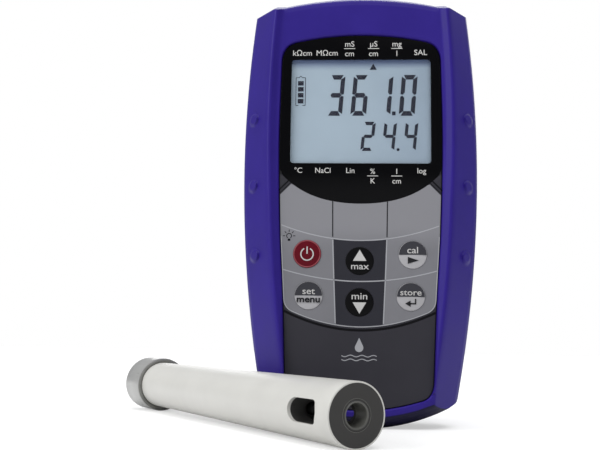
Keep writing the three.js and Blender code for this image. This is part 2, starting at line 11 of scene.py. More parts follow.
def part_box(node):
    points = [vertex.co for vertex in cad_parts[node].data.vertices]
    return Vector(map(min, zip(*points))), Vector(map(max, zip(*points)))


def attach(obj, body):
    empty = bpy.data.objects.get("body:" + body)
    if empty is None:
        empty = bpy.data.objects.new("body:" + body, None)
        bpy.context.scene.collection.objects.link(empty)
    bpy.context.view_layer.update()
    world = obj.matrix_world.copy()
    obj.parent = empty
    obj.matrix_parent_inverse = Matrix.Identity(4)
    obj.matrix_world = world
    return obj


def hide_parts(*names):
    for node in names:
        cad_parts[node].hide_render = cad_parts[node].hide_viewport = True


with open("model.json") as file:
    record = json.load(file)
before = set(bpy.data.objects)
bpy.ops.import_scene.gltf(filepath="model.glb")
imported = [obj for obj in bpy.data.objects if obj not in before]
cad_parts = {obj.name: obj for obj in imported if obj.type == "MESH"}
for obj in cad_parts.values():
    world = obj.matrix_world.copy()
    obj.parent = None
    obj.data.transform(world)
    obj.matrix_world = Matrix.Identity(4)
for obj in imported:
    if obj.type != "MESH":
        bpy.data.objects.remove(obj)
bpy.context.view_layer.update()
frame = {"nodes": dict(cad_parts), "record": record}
nodes = frame["nodes"]
scene = bpy.context.scene
MM = 0.001

# ---- Camera, light and floor ----

CAMERA_PLACE = (-3.47, -308.82, 25.47)
CAMERA_PITCH = math.radians(8.54)
CAMERA_YAW = math.radians(3.42)
CAMERA_ROLL = math.radians(0.98)
LENS = 50.69


def make_camera():
    forward = Vector((
        -math.sin(CAMERA_YAW) * math.cos(CAMERA_PITCH),
        math.cos(CAMERA_YAW) * math.cos(CAMERA_PITCH),
        math.sin(CAMERA_PITCH),
    ))
    level = Vector((math.cos(CAMERA_YAW), math.sin(CAMERA_YAW), 0))
    rise = level.cross(forward)
    right = level * math.cos(CAMERA_ROLL) + rise * math.sin(CAMERA_ROLL)
    up = rise * math.cos(CAMERA_ROLL) - level * math.sin(CAMERA_ROLL)
    camera = bpy.data.objects.new("camera", bpy.data.cameras.new("camera"))
    turn = Matrix((right, up, -forward)).transposed().to_4x4()
    camera.matrix_world = Matrix.Translation(Vector(CAMERA_PLACE) * MM) @ turn
    camera.data.lens = LENS
    camera.data.sensor_width = 36
    camera.data.clip_start = 0.01
    scene.collection.objects.link(camera)
    scene.camera = camera


def soft_sun(name, toward, spread, share):
    """A broad soft light from far away. Share 1 lights a white face square to it fully."""
    light = bpy.data.lights.new(name, "SUN")
    light.energy = math.pi * share
    light.angle = math.radians(spread)
    obj = bpy.data.objects.new(name, light)
    obj.rotation_euler = Vector(toward).to_track_quat("Z", "Y").to_euler()
    scene.collection.objects.link(obj)


def split_by_ray(tree, unseen, seen, end):
    """Shows one shader to the camera, and lights the scene with the other."""
    path = tree.nodes.new("ShaderNodeLightPath")
    mix = tree.nodes.new("ShaderNodeMixShader")
    tree.links.new(path.outputs["Is Camera Ray"], mix.inputs["Fac"])
    tree.links.new(unseen.outputs[0], mix.inputs[1])
    tree.links.new(seen.outputs[0], mix.inputs[2])
    tree.links.new(mix.outputs["Shader"], tree.nodes[end].inputs["Surface"])


def make_world():
    world = bpy.data.worlds.new("studio")
    scene.world = world
    world.use_nodes = True
    tree = world.node_tree
    white = tree.nodes["Background"]
    socket(white, "Color", (1, 1, 1, 1))
    socket(white, "Strength", 1.0)
    dim = tree.nodes.new("ShaderNodeBackground")
    socket(dim, "Color", (0.95, 0.97, 1, 1))
    socket(dim, "Strength", 0.30)
    split_by_ray(tree, dim, white, "World Output")


def make_floor():
    """A floor that meets the horizon, white to the eye but throwing little light back up."""
    reach = 60.0
    floor = bpy.data.meshes.new("floor")
    corners = [(-reach, -reach, 0), (reach, -reach, 0), (reach, reach, 0), (-reach, reach, 0)]
    floor.from_pydata(corners, [], [(0, 1, 2, 3)])
    obj = bpy.data.objects.new("floor", floor)
    paint = bpy.data.materials.new("floor_paint")
    paint.use_nodes = True
    tree = paint.node_tree
    shader = tree.nodes["Principled BSDF"]
    socket(shader, "Base Color", (0.6, 0.6, 0.6, 1))
    socket(shader, "Roughness", 0.9)
    socket(shader, "Specular IOR Level", 0.0)
    socket(shader, "Emission Color", (1, 1, 1, 1))
    socket(shader, "Emission Strength", 0.48)
    dull = tree.nodes.new("ShaderNodeBsdfDiffuse")
    socket(dull, "Color", (0.85, 0.85, 0.85, 1))
    split_by_ray(tree, dull, shader, "Material Output")
    floor.materials.append(paint)
    scene.collection.objects.link(obj)


def make_stage():
    scene.view_settings.view_transform = "Standard"
    make_camera()
    make_world()
    make_floor()
    soft_sun("key_left", (-0.8, -0.42, 0.5), 40, 0.50)
    soft_sun("front_high", (0.12, -0.52, 0.85), 34, 0.40)
    soft_sun("top", (0.0, 0.25, 0.97), 60, 0.18)
    soft_sun("back", (0.1, 0.9, 0.5), 50, 0.35)


# ---- Materials ----

def socket(shader, name, value):
    shader.inputs[name].default_value = value


def noise(tree, scale, fineness, detail):
    """A noise texture that follows the object's own coordinates."""
    texture = tree.nodes.new("ShaderNodeTexNoise")
    socket(texture, "Scale", fineness)
    socket(texture, "Detail", detail)
    tree.links.new(scale.outputs["Vector"], texture.inputs["Vector"])
    return texture.outputs["Fac"]


def finish_material(name, colour, rough, metal=0.0, grain=(3500, 0.04), mottle=0.06, spread=0.06,
                    stretch=(1, 1, 1), specular=0.5):
    """A moulded or machined surface: fine grain in the bump, slow mottling in colour and gloss."""
    material = bpy.data.materials.new(name)
    material.use_nodes = True
    tree = material.node_tree
    shader = tree.nodes["Principled BSDF"]
    socket(shader, "Metallic", metal)
    socket(shader, "Specular IOR Level", specular)
    where = tree.nodes.new("ShaderNodeTexCoord")
    scale = tree.nodes.new("ShaderNodeMapping")
    socket(scale, "Scale", stretch)
    tree.links.new(where.outputs["Object"], scale.inputs["Vector"])

    slow = noise(tree, scale, 90, 4)
    ramp = tree.nodes.new("ShaderNodeValToRGB")
    shades = [(0.3, 1 - mottle), (0.7, 1 + mottle)]
    for element, (position, strength) in zip(ramp.color_ramp.elements, shades):
        element.position = position
        element.color = tuple(min(1, c * strength) for c in colour) + (1,)
    tree.links.new(slow, ramp.inputs["Fac"])
    tree.links.new(ramp.outputs["Color"], shader.inputs["Base Color"])

    bump = tree.nodes.new("ShaderNodeBump")
    socket(bump, "Strength", grain[1])
    socket(bump, "Distance", 0.0002)
    tree.links.new(noise(tree, scale, grain[0], 2), bump.inputs["Height"])
    tree.links.new(bump.outputs["Normal"], shader.inputs["Normal"])
    gloss = tree.nodes.new("ShaderNodeMapRange")
    socket(gloss, "To Min", max(0.02, rough - spread))
    socket(gloss, "To Max", min(1, rough + spread))
    tree.links.new(slow, gloss.inputs["Value"])
    tree.links.new(gloss.outputs["Result"], shader.inputs["Roughness"])
    return material


def components(tree, vector):
    """The X, Y and Z of a vector that another node gives."""
    split = tree.nodes.new("ShaderNodeSeparateXYZ")
    tree.links.new(vector, split.inputs["Vector"])
    return split.outputs


def place_on(tree):
    """The X, Y and Z of the point being shaded, in metres."""
    where = tree.nodes.new("ShaderNodeTexCoord")
    return components(tree, where.outputs["Object"])


def rising(tree, value, start, end, top=1.0, smooth=False):
    """A share that goes from 0, where the value is start, to top, where it is end."""
    share = tree.nodes.new("ShaderNodeMapRange")
    if smooth:
        share.interpolation_type = "SMOOTHSTEP"
    socket(share, "From Min", start)
    socket(share, "From Max", end)
    socket(share, "To Max", top)
    tree.links.new(value, share.inputs["Value"])
    return share.outputs["Result"]


def combined(tree, operation, first, second):
    both = tree.nodes.new("ShaderNodeMath")
    both.operation = operation
    tree.links.new(first, both.inputs[0])
    tree.links.new(second, both.inputs[1])
    return both.outputs["Value"]


def tint(material, share, colour):
    """Mixes a second colour into a material's own, by the share that another node gives."""
    tree = material.node_tree
    shade = tree.nodes.new("ShaderNodeMix")
    shade.data_type = "RGBA"
    tree.links.new(share, shade.inputs["Factor"])
    tree.links.new(tree.nodes["Color Ramp"].outputs["Color"], shade.inputs["A"])
    shade.inputs["B"].default_value = colour + (1,)
    tree.links.new(shade.outputs["Result"], tree.nodes["Principled BSDF"].inputs["Base Color"])


def srgb(red, green, blue):
    """A colour given as it looks on a screen, 0 to 255, in the linear values that a shader takes."""
    return tuple(
        c / 12.92 if c <= 0.04045 else ((c + 0.055) / 1.055) ** 2.4
        for c in (red / 255, green / 255, blue / 255)
    )


def display_material():
    """The lit display: pale blue, with painted shade along its top edge and towards the right."""
    material = finish_material("lcd_screen", srgb(164, 182, 196), 0.5, mottle=0.03, grain=(900, 0.01))
    tree = material.node_tree
    place = place_on(tree)
    top = rising(tree, place["Z"], (LCD_TOP - 4.2) * MM, (LCD_TOP + 0.4) * MM, smooth=True)
    right = rising(tree, place["X"], 0, LCD_HALF * MM, 0.2)
    # painted shade: deeper blue along the top edge and towards the right
    tint(material, combined(tree, "MAXIMUM", top, right), srgb(84, 104, 146))
    return material


def clear_material():
    material = bpy.data.materials.new("clear_acrylic")
    material.use_nodes = True
    shader = material.node_tree.nodes["Principled BSDF"]
    socket(shader, "Base Color", (0.2, 0.22, 0.26, 1))
    socket(shader, "Roughness", 0.04)
    socket(shader, "Alpha", 0.05)
    socket(shader, "Specular IOR Level", 0.25)
    material.surface_render_method = "BLENDED"
    return material


# ---- Meshes ----

def to_object(name, mesh, material, body, replaces=(), sharp=math.radians(32), flat=True):
    """A piece of the model. Faces square to the depth stay flat, so that no edge bends their gloss."""
    for polygon in mesh.polygons:
        polygon.use_smooth = not (flat and abs(polygon.normal.y) > 0.99999)
    if sharp:
        mesh.set_sharp_from_angle(angle=sharp)
    mesh.materials.clear()
    mesh.materials.append(material)
    obj = bpy.data.objects.new(name, mesh)
    scene.collection.objects.link(obj)
    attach(obj, body)
    if replaces:
        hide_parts(*replaces)
    return obj


def edit(mesh, *steps):
    """Runs each step on the mesh in its editable form."""
    form = bmesh.new()
    form.from_mesh(mesh)
    for step in steps:
        step(form)
    form.to_mesh(mesh)
    form.free()


def merge_closer_than(distance):
    return lambda form: bmesh.ops.remove_doubles(form, verts=form.verts, dist=distance)


def mesh_from(points, faces):
    """A mesh from points in millimetres, with shared points merged and faces pointing out."""
    mesh = bpy.data.meshes.new("mesh")
    mesh.from_pydata([Vector(p) * MM for p in points], [], faces)
    edit(mesh, merge_closer_than(1e-7), lambda form: bmesh.ops.recalc_face_normals(form, faces=form.faces))
    return mesh


def ring_mesh(rings, closed=True):
    """Quads between successive rings. A closed one joins its last ring to its first."""
    count = len(rings[0])
    points = [p for ring in rings for p in ring]
    total = len(rings)
    faces = []
    for i in range(total if closed else total - 1):
        a, b = i * count, (i + 1) % total * count
        faces += [(a + j, a + (j + 1) % count, b + (j + 1) % count, b + j) for j in range(count)]
    return mesh_from(points, faces)


def turned(profile, facets=96):
    """A solid turned about the Y axis from [radius, y] points, closed through the axis or on itself."""
    rings = []
    for step in range(facets):
        angle = 2 * math.pi * step / facets
        rings.append([(r * math.cos(angle), y, r * math.sin(angle)) for r, y in profile])
    mesh = ring_mesh(rings)
    edit(mesh, lambda form: bmesh.ops.dissolve_degenerate(form, edges=form.edges, dist=1e-7))
    return mesh


def shifted(mesh, x, z):
    """The mesh, moved within the XZ plane."""
    mesh.transform(Matrix.Translation((x * MM, 0, z * MM)))
    return mesh


def upright(mesh, x, y):
    """A mesh made about Y, stood up about Z."""
    mesh.transform(Matrix.Translation((x * MM, y * MM, 0)) @ Matrix.Rotation(math.pi / 2, 4, "X"))
    return mesh


def rounded(points, radius, steps=4):
    """A profile whose corners are rounded, for corners given as (a, b, radius) or (a, b)."""
    made = []
    count = len(points)
    for index, point in enumerate(points):
        corner = Vector(point[:2])
        size = point[2] if len(point) > 2 else radius
        if size == 0:
            made.append(tuple(corner))
            continue
        before = Vector(points[index - 1][:2]) - corner
        after = Vector(points[(index + 1) % count][:2]) - corner
        size = min(size, before.length * 0.45, after.length * 0.45)
        start, end = corner + before.normalized() * size, corner + after.normalized() * size
        for step in range(steps + 1):
            t = step / steps
            made.append(tuple(start * (1 - t) ** 2 + corner * 2 * t * (1 - t) + end * t ** 2))
    return made


def plate(outline, y0, y1, edge=0.0, holes=()):
    """A flat plate in the XZ plane with softened edges, cut by holes."""
    curve = bpy.data.curves.new("plate", "CURVE")
    curve.dimensions = "2D"
    curve.fill_mode = "BOTH"
    curve.extrude = ((y1 - y0) / 2 - edge) * MM
    curve.bevel_depth = edge * MM
    curve.bevel_resolution = 2
    curve.offset = -edge * MM
    for points in [outline, *holes]:
        spline = curve.splines.new("POLY")
        spline.points.add(len(points) - 1)
        for place, (x, z) in zip(spline.points, points):
            place.co = (x * MM, z * MM, 0, 1)
        spline.use_cyclic_u = True
    return curve_mesh(curve, (y0 + y1) / 2)


def curve_mesh(curve, y):
    """The mesh of a flat curve or text, stood up in the XZ plane at depth y, facing -Y."""
    holder = bpy.data.objects.new("holder", curve)
    scene.collection.objects.link(holder)
    graph = bpy.context.evaluated_depsgraph_get()
    mesh = bpy.data.meshes.new_from_object(holder.evaluated_get(graph))
    bpy.data.objects.remove(holder)
    bpy.data.curves.remove(curve)
    mesh.transform(Matrix.Translation((0, y * MM, 0)) @ Matrix.Rotation(math.pi / 2, 4, "X"))
    edit(mesh, merge_closer_than(1e-8))
    return mesh


def between(near, far):
    """A closed solid between two matching outlines."""
    count = len(near)
    faces = [tuple(range(count)), tuple(range(2 * count - 1, count - 1, -1))]
    faces += [(i, (i + 1) % count, count + (i + 1) % count, count + i) for i in range(count)]
    return mesh_from(near + far, faces)


def prism(outline, y0, y1):
    """A thin prism of a flat [x, z] outline."""
    return between([(x, y0, z) for x, z in outline], [(x, y1, z) for x, z in outline])


def stroke(path, width):
    """The outline of a line of even width along [x, z] points."""
    points = [Vector(p) for p in path]
    left, right = [], []
    for index, point in enumerate(points):
        before = points[max(index - 1, 0)]
        after = points[min(index + 1, len(points) - 1)]
        along = (after - before).normalized()
        across = Vector((-along.y, along.x)) * width / 2
        left.append(tuple(point + across))
        right.append(tuple(point - across))
    return left + right[::-1]


def words(text, x, z, size, y, depth=0.05, stretch=1.0, weight=0.0):
    """Flat lettering in the XZ plane, centred on x, with its foot at z."""
    curve = bpy.data.curves.new("words", "FONT")
    curve.body = text
    curve.size = size * MM
    curve.extrude = depth / 2 * MM
    curve.offset = weight * MM
    curve.align_x = "CENTER"
    curve.resolution_u = 4
    mesh = curve_mesh(curve, y)
    mesh.transform(Matrix.Translation((x * MM, 0, z * MM)) @ Matrix.Diagonal((stretch, 1, 1, 1)))
    return mesh


def joined(meshes):
    """One mesh from several that lie beside each other."""
    whole = bmesh.new()
    for mesh in meshes:
        whole.from_mesh(mesh)
        bpy.data.meshes.remove(mesh)
    mesh = bpy.data.meshes.new("joined")
    whole.to_mesh(mesh)
    whole.free()
    return mesh


def cut(mesh, *cutters):
    """The mesh with each cutter taken out of it."""
    holder = bpy.data.objects.new("cut", mesh)
    scene.collection.objects.link(holder)
    tools = []
    for cutter in cutters:
        tool = bpy.data.objects.new("cutter", cutter)
        scene.collection.objects.link(tool)
        step = holder.modifiers.new("cut", "BOOLEAN")
        step.operation = "DIFFERENCE"
        step.solver = "EXACT"
        step.object = tool
        tools.append(tool)
    graph = bpy.context.evaluated_depsgraph_get()
    made = bpy.data.meshes.new_from_object(holder.evaluated_get(graph))
    for obj in [holder, *tools]:
        bpy.data.objects.remove(obj)
    return made


def circle(x, z, radius, facets=48, start=0.0, end=2 * math.pi):
    """Points round a circle, or along an arc whose two ends are both given."""
    whole = end - start >= 2 * math.pi - 1e-6
    steps = facets if whole else facets + 1
    return [
        (x + radius * math.cos(start + (end - start) * i / facets),
         z + radius * math.sin(start + (end - start) * i / facets))
        for i in range(steps)
    ]


def smooth_step(value):
    value = min(1.0, max(0.0, value))
    return value * value * (3 - 2 * value)


def interpolate(table, value):
    """A value read from a table of points, with straight lines between them."""
    for (a, fa), (b, fb) in zip(table, table[1:]):
        if value <= b:
            return fa + (fb - fa) * max(0.0, value - a) / (b - a)
    return table[-1][1]


def resample(points, count):
    """A path's points spread evenly along it, both ends kept."""
    points = [Vector(p) for p in points]
    runs = [0.0]
    for a, b in zip(points, points[1:]):
        runs.append(runs[-1] + (b - a).length)
    made, place = [], 0
    for step in range(count):
        want = runs[-1] * step / (count - 1)
        while place < len(runs) - 2 and runs[place + 1] < want:
            place += 1
        span = runs[place + 1] - runs[place]
        made.append(points[place].lerp(points[place + 1], (want - runs[place]) / span if span else 0))
    return made


# ---- The meter's outline, as the CAD has it ----

HALF_WIDTH = 42.8
WIDEST_Z = 95
SIDE_RADIUS_UPPER = 470
SIDE_RADIUS_LOWER = 455
TOP_Z = 160
BOTTOM_RADIUS = 68
FOOT_HALF = 8
TOP_CORNER = (31.7, 157)
TOP_FLAT_X = 28
CHAMFER_SLOPE = 0.6
TOP_RADIUS = 130
OPENING_TOP = 139.1
OPENING_BOTTOM = 6.1


def side_at(z):
    radius = SIDE_RADIUS_UPPER if z > WIDEST_Z else SIDE_RADIUS_LOWER
    return HALF_WIDTH - (z - WIDEST_Z) ** 2 / (2 * radius)


def bottom_at(x):
    start = math.sqrt(BOTTOM_RADIUS ** 2 - FOOT_HALF ** 2)
    return max(0.0, start - math.sqrt(BOTTOM_RADIUS ** 2 - x ** 2))


def top_at(x):
    return TOP_Z - TOP_RADIUS + math.sqrt(TOP_RADIUS ** 2 - min(abs(x), TOP_FLAT_X) ** 2)


def chamfer_corner():
    """Where the cut-off upper corner meets the side."""
    z = TOP_CORNER[1]
    for _ in range(30):
        z = TOP_CORNER[1] - (side_at(z) - TOP_CORNER[0]) * CHAMFER_SLOPE
    return side_at(z), z


def lower_corner():
    z = 9.0
    for _ in range(30):
        z = bottom_at(side_at(z))
    return side_at(z), z


def bezier(a, b, c, steps=12):
    a, b, c = Vector(a), Vector(b), Vector(c)
    return [tuple(a * (1 - t) ** 2 + b * 2 * t * (1 - t) + c * t ** 2)
            for t in (i / steps for i in range(steps + 1))]


def opening_side(z):
    """The opening's half-width at a height, a smooth curve through a few widths."""
    knots = [(15.5, 25.5), (45, 26.7), (70, 28.2), (100, 28.95), (129.5, 28.5)]
    for index in range(len(knots) - 1):
        if z <= knots[index + 1][0] or index == len(knots) - 2:
            before = knots[max(index - 1, 0)]
            a, b = knots[index], knots[index + 1]
            after = knots[min(index + 2, len(knots) - 1)]
            span = b[0] - a[0]
            t = (z - a[0]) / span
            slope_a = (b[1] - before[1]) / (b[0] - before[0]) * span
            slope_b = (after[1] - a[1]) / (after[0] - a[0]) * span
            return ((2 * t ** 3 - 3 * t ** 2 + 1) * a[1] + (t ** 3 - 2 * t ** 2 + t) * slope_a
                    + (3 * t ** 2 - 2 * t ** 3) * b[1] + (t ** 3 - t ** 2) * slope_b)
    return knots[-1][1]


def opening_parts(inset=0.0):
    """The opening's right half as five stretches, from the bottom centre to the top centre."""
    def low(x):
        return OPENING_BOTTOM + x * x / 132 + inset

    def high(x):
        return OPENING_TOP - x * x / 210 - inset

    bottom = [(x, low(x)) for x in (i * 20.5 / 14 for i in range(15))]
    low_corner = bezier((20.5, low(20.5)), (25 - inset, low(23)), (25.5 - inset, 15.5))
    side = [(opening_side(z) - inset, z) for z in (15.5 + i * 114 / 60 for i in range(61))]
    high_corner = bezier((28.5 - inset, 129.5), (28.1 - inset, high(27.5)), (23, high(23)))
    top = [(x, high(x)) for x in (23 - i * 23 / 14 for i in range(15))]
    return [bottom, low_corner, side, high_corner, top]


def opening_outline(inset):
    half = []
    for part in opening_parts(inset):
        half += part if not half else part[1:]
    return half + [(-x, z) for x, z in reversed(half[1:-1])]


def silhouette_parts():
    """The boot's right half in the same five stretches as the opening."""
    corner_x, corner_z = lower_corner()
    _, chamfer_z = chamfer_corner()
    low_split, high_split = 17.0, 143.0
    bottom = [(x, bottom_at(x)) for x in (i * 31 / 24 for i in range(25))]
    low_corner = [(x, bottom_at(x)) for x in (31 + i * (corner_x - 0.9 - 31) / 6 for i in range(7))]
    low_corner += bezier((corner_x - 0.9, bottom_at(corner_x - 0.9)), (corner_x, corner_z),
                         (side_at(corner_z + 1.3), corner_z + 1.3), 6)[1:]
    low_corner += [(side_at(z), z) for z in (corner_z + 2.5, low_split)]
    side = [(side_at(z), z) for z in (low_split + i * (high_split - low_split) / 60 for i in range(61))]
    high_corner = [(side_at(z), z) for z in (high_split, 147, chamfer_z)]
    high_corner += [TOP_CORNER, (TOP_FLAT_X, top_at(TOP_FLAT_X))]
    top = [(x, top_at(x)) for x in (TOP_FLAT_X * (1 - i / 20) for i in range(21))]
    return [bottom, low_corner, side, high_corner, top]


# ---- Silicone boot ----

FRONT_Y = -18.5
REAR_Y = 18.5
FACE_LEVEL = -16.9                    # the boot's front where it isn't raised into a rail
BOOT_COUNTS = [56, 40, 300, 90, 56]   # columns on each of the five stretches
ACROSS_STEPS = 56
BUMP_PLACES = [(109, 38.9), (84.4, 38.6), (59.2, 37.5)]
BUMP_RADIUS = 2.7
BUMP_HEIGHT = 1.5
ROOF_SLOPE = 0.475                    # in front of the middle the top slopes down to the face
ROOF_BLEND = 4.0
RIDGE_AWAY = 10.6                     # the ridge's distance from the side, as SIDE_FRONT has it
RIDGE_PLACES = [(0, 10.8), (78, 10.8), (96, 10.4), (144, 9.2), (160, 8.8)]

# Depth against distance in from an edge: the front from the side, bottom and top, then the rear.
SIDE_FRONT = [(0, -3.0), (0.35, -4.2), (1.1, -5.8), (8.8, -16.63), (9.4, -17.4), (9.9, -17.95),
              (10.3, -18.3), (10.7, -18.48), (11.1, -18.35), (11.7, -17.9), (13.0, -17.1),
              (13.6, FACE_LEVEL), (60, FACE_LEVEL)]
BOTTOM_FRONT = [(0, -9.0), (0.5, -10.6), (1.6, -13.0), (3.0, -15.4), (3.7, -16.3), (4.3, -16.8),
                (5.0, -17.0), (6.0, -17.2), (7.5, -17.3), (9, FRONT_Y), (200, FRONT_Y)]
TOP_FRONT = [(0, -15.7), (0.3, -16.3), (0.9, -16.75), (1.8, FACE_LEVEL), (3.0, -17.6), (5.5, FRONT_Y),
             (200, FRONT_Y)]
SIDE_REAR = [(0, 3.0), (0.35, 5.0), (1.0, 8.0), (2.2, 11.8), (3.6, 14.9), (5.2, 17.2), (6.5, 18.2),
             (7.6, REAR_Y), (80, REAR_Y)]
END_REAR = [(0, 12.0), (0.4, 14.0), (1.2, 16.2), (2.4, 17.7), (3.6, 18.35), (4.6, REAR_Y), (200, REAR_Y)]


def soft_max(a, b, blend=0.5):
    """The larger of two values, rounded where they are close."""
    mix = max(0.0, blend - abs(a - b)) / blend
    return max(a, b) + mix * mix * blend / 4


def roof_drop(y):
    """How far the top lies below its middle height at a depth."""
    return ROOF_SLOPE * soft_max(0.0, -y, ROOF_BLEND)


def boot_front(x, z, on_chamfer):
    away = (side_at(z) - abs(x)) * RIDGE_AWAY / interpolate(RIDGE_PLACES, z)
    depth = interpolate(SIDE_FRONT, away)
    depth = soft_max(depth, interpolate(BOTTOM_FRONT, z - bottom_at(x)))
    if not on_chamfer:
        below = top_at(x) - roof_drop(TOP_FRONT[0][1]) - z
        depth = soft_max(depth, interpolate(TOP_FRONT, below), 0.3)
    for bump_z, bump_x in BUMP_PLACES:
        away = math.hypot(z - bump_z, (abs(x) - bump_x) * 1.25) / BUMP_RADIUS
        depth -= BUMP_HEIGHT * smooth_step((1 - away) * 2.2)
    return depth


def front_rim(edge, on_chamfer):
    """The point of the front's rim that belongs to a point of the silhouette, lower where the top slopes."""
    corner_x, corner_z = chamfer_corner()
    on_side = abs(edge.x) > corner_x + 0.01
    share = smooth_step((edge.y - 143) / (corner_z - 143)) if on_side else 1.0
    rim = edge.copy()
    for _ in range(12):
        depth = boot_front(rim.x, rim.y, on_chamfer)
        rim.y = edge.y - share * roof_drop(depth)
        if on_side:
            rim.x = math.copysign(side_at(rim.y), edge.x)
    return rim


def boot_rear(x, z):
    depth = interpolate(SIDE_REAR, side_at(z) - abs(x))
    depth = min(depth, interpolate(END_REAR, z - bottom_at(x)))
    return min(depth, interpolate(END_REAR, top_at(x) - z))


def boot_section(opening, edge, stretch):
    """One closed section of the boot, from the opening's edge round the outside and back within."""
    lip = 0.7
    cavity_y = 14.2
    span = (edge - opening).length
    outward = (edge - opening).normalized()

    def at(distance, y):
        spot = opening + outward * distance
        return (spot.x, y, spot.y)

    on_chamfer = stretch == 3
    rim = front_rim(edge, on_chamfer) if stretch > 2 else edge
    section = [at(0, -cavity_y)]
    fractions = [i / ACROSS_STEPS for i in range(ACROSS_STEPS + 1)]
    for part in fractions:
        spot = opening.lerp(rim, part)
        distance = (spot - opening).length
        depth = boot_front(spot.x, spot.y, on_chamfer)
        if distance < lip:
            depth += lip - math.sqrt(lip ** 2 - (lip - distance) ** 2)
        section.append((spot.x, depth, spot.y))
    front_edge = section[-1][1]
    rear_edge = boot_rear(edge.x, edge.y)
    for step in range(1, 12):
        y = front_edge + (rear_edge - front_edge) * step / 12
        spot = edge.lerp(rim, roof_drop(y) / roof_drop(front_edge))
        section.append((spot.x, y, spot.y))
    for part in reversed(fractions[::2]):
        distance = span * part
        spot = opening + outward * distance
        depth = boot_rear(spot.x, spot.y)
        if distance < lip:
            depth -= lip - math.sqrt(lip ** 2 - (lip - distance) ** 2)
        section.append((spot.x, depth, spot.y))
    section.append(at(0, cavity_y))
    walls = [(9.0, cavity_y), (6.4, 11.5), (3.6, 3.0), (3.6, -3.0), (7.4, -9.0), (10.9, -cavity_y)]
    for inward, y in walls:
        section.append(at(max(0.4, span - inward), y))
    return section


def boot_columns():
    """Matching points of the opening and the silhouette, all the way round."""
    columns = []
    for stretch, (inner, outer) in enumerate(zip(opening_parts(), silhouette_parts())):
        count = BOOT_COUNTS[stretch]
        pairs = list(zip(resample(inner, count), resample(outer, count)))
        if columns:
            pairs = pairs[1:]
        columns += [(a, b, stretch) for a, b in pairs]
    left = [(Vector((-a.x, a.y)), Vector((-b.x, b.y)), s) for a, b, s in reversed(columns[1:-1])]
    return columns + left


def paint_sole_shade(material):
    """Darkens the faces of the foot that look down with painted shade."""
    tree = material.node_tree
    shape = tree.nodes.new("ShaderNodeNewGeometry")
    down = rising(tree, components(tree, shape.outputs["Normal"])["Z"], -0.3, -0.6)
    low = rising(tree, place_on(tree)["Z"], 22 * MM, 14 * MM)
    # painted shade: a deep indigo on the low faces that look down
    tint(material, combined(tree, "MULTIPLY", down, low), srgb(22, 19, 50))


def make_boot():
    columns = boot_columns()
    rings = [boot_section(inner, outer, stretch) for inner, outer, stretch in columns]
    mesh = ring_mesh(rings)
    holes = []
    low, high = HOLE_Z
    for size in SOCKETS.values():
        hole = turned([(0, low), (size["hole"], low), (size["hole"], high), (0, high)], 64)
        holes.append(upright(hole, size["x"], SOCKET_Y))
    mesh = cut(mesh, *holes)
    silicone = finish_material("indigo_silicone", srgb(44, 29, 125), 0.42, grain=(5200, 0.10), mottle=0.05,
                               specular=0.16)
    paint_sole_shade(silicone)
    to_object("boot_shell", mesh, silicone, "meter", ["silicone_boot"], math.radians(40),
              flat=False)


# ---- Face: film, panel, window and display ----

FILM_Y = (-16.3, -15.7)
WINDOW_Y = (-16.4, -15.7)
PRINT = 0.05
LCD_HALF = 24.9
LCD_LOW, LCD_TOP = 91.7, 129.9
LCD_FACE_Y = -15.15
KEY_RADIUS = 4.85
KEY_FRONT_Y = -16.8
FACE_INSET = 0.35


def window_edge(x):
    return 77.3 + 0.00825 * x ** 2 + 6.75e-6 * x ** 4


def split_face():
    """The raised face's outline, divided by the window's lower edge."""
    outline = opening_outline(FACE_INSET)
    window = [(x, z) for x, z in outline if z > window_edge(x)]
    film = [(x, z) for x, z in outline if z <= window_edge(x)]
    edge_x = max(x for x, z in window if z < 100)
    edge = [(edge_x - 2 * edge_x * i / 48, window_edge(edge_x - 2 * edge_x * i / 48)) for i in range(49)]
    right = [(x, z) for x, z in window if x >= 0]
    left = [(x, z) for x, z in window if x < 0]
    upper = right + left + [(x, z) for x, z in reversed(edge[1:-1])]
    low_right = [(x, z) for x, z in film if x >= 0]
    low_left = [(x, z) for x, z in film if x < 0]
    lower = low_left + low_right + edge[1:-1]
    return upper, lower


def rounded_rectangle(x0, x1, z0, z1, radius, steps=6):
    return rounded([(x0, z0), (x1, z0), (x1, z1), (x0, z1)], radius, steps)


def key_place(name):
    low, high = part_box(name)
    middle = (low + high) / 2 / MM
    return middle.x, middle.z


def fraction(x, upper, lower, line_z, size, y, width):
    """A unit written as a fraction, with its line."""
    half = width / 2
    line = [(x - half, line_z - 0.11), (x + half, line_z - 0.11), (x + half, line_z + 0.11),
            (x - half, line_z + 0.11)]
    return [
        words(upper, x, line_z + 0.75, size, y),
        words(lower, x, line_z - 0.75 - size * 0.72, size, y),
        prism(line, y - PRINT / 2, y + PRINT / 2),
    ]


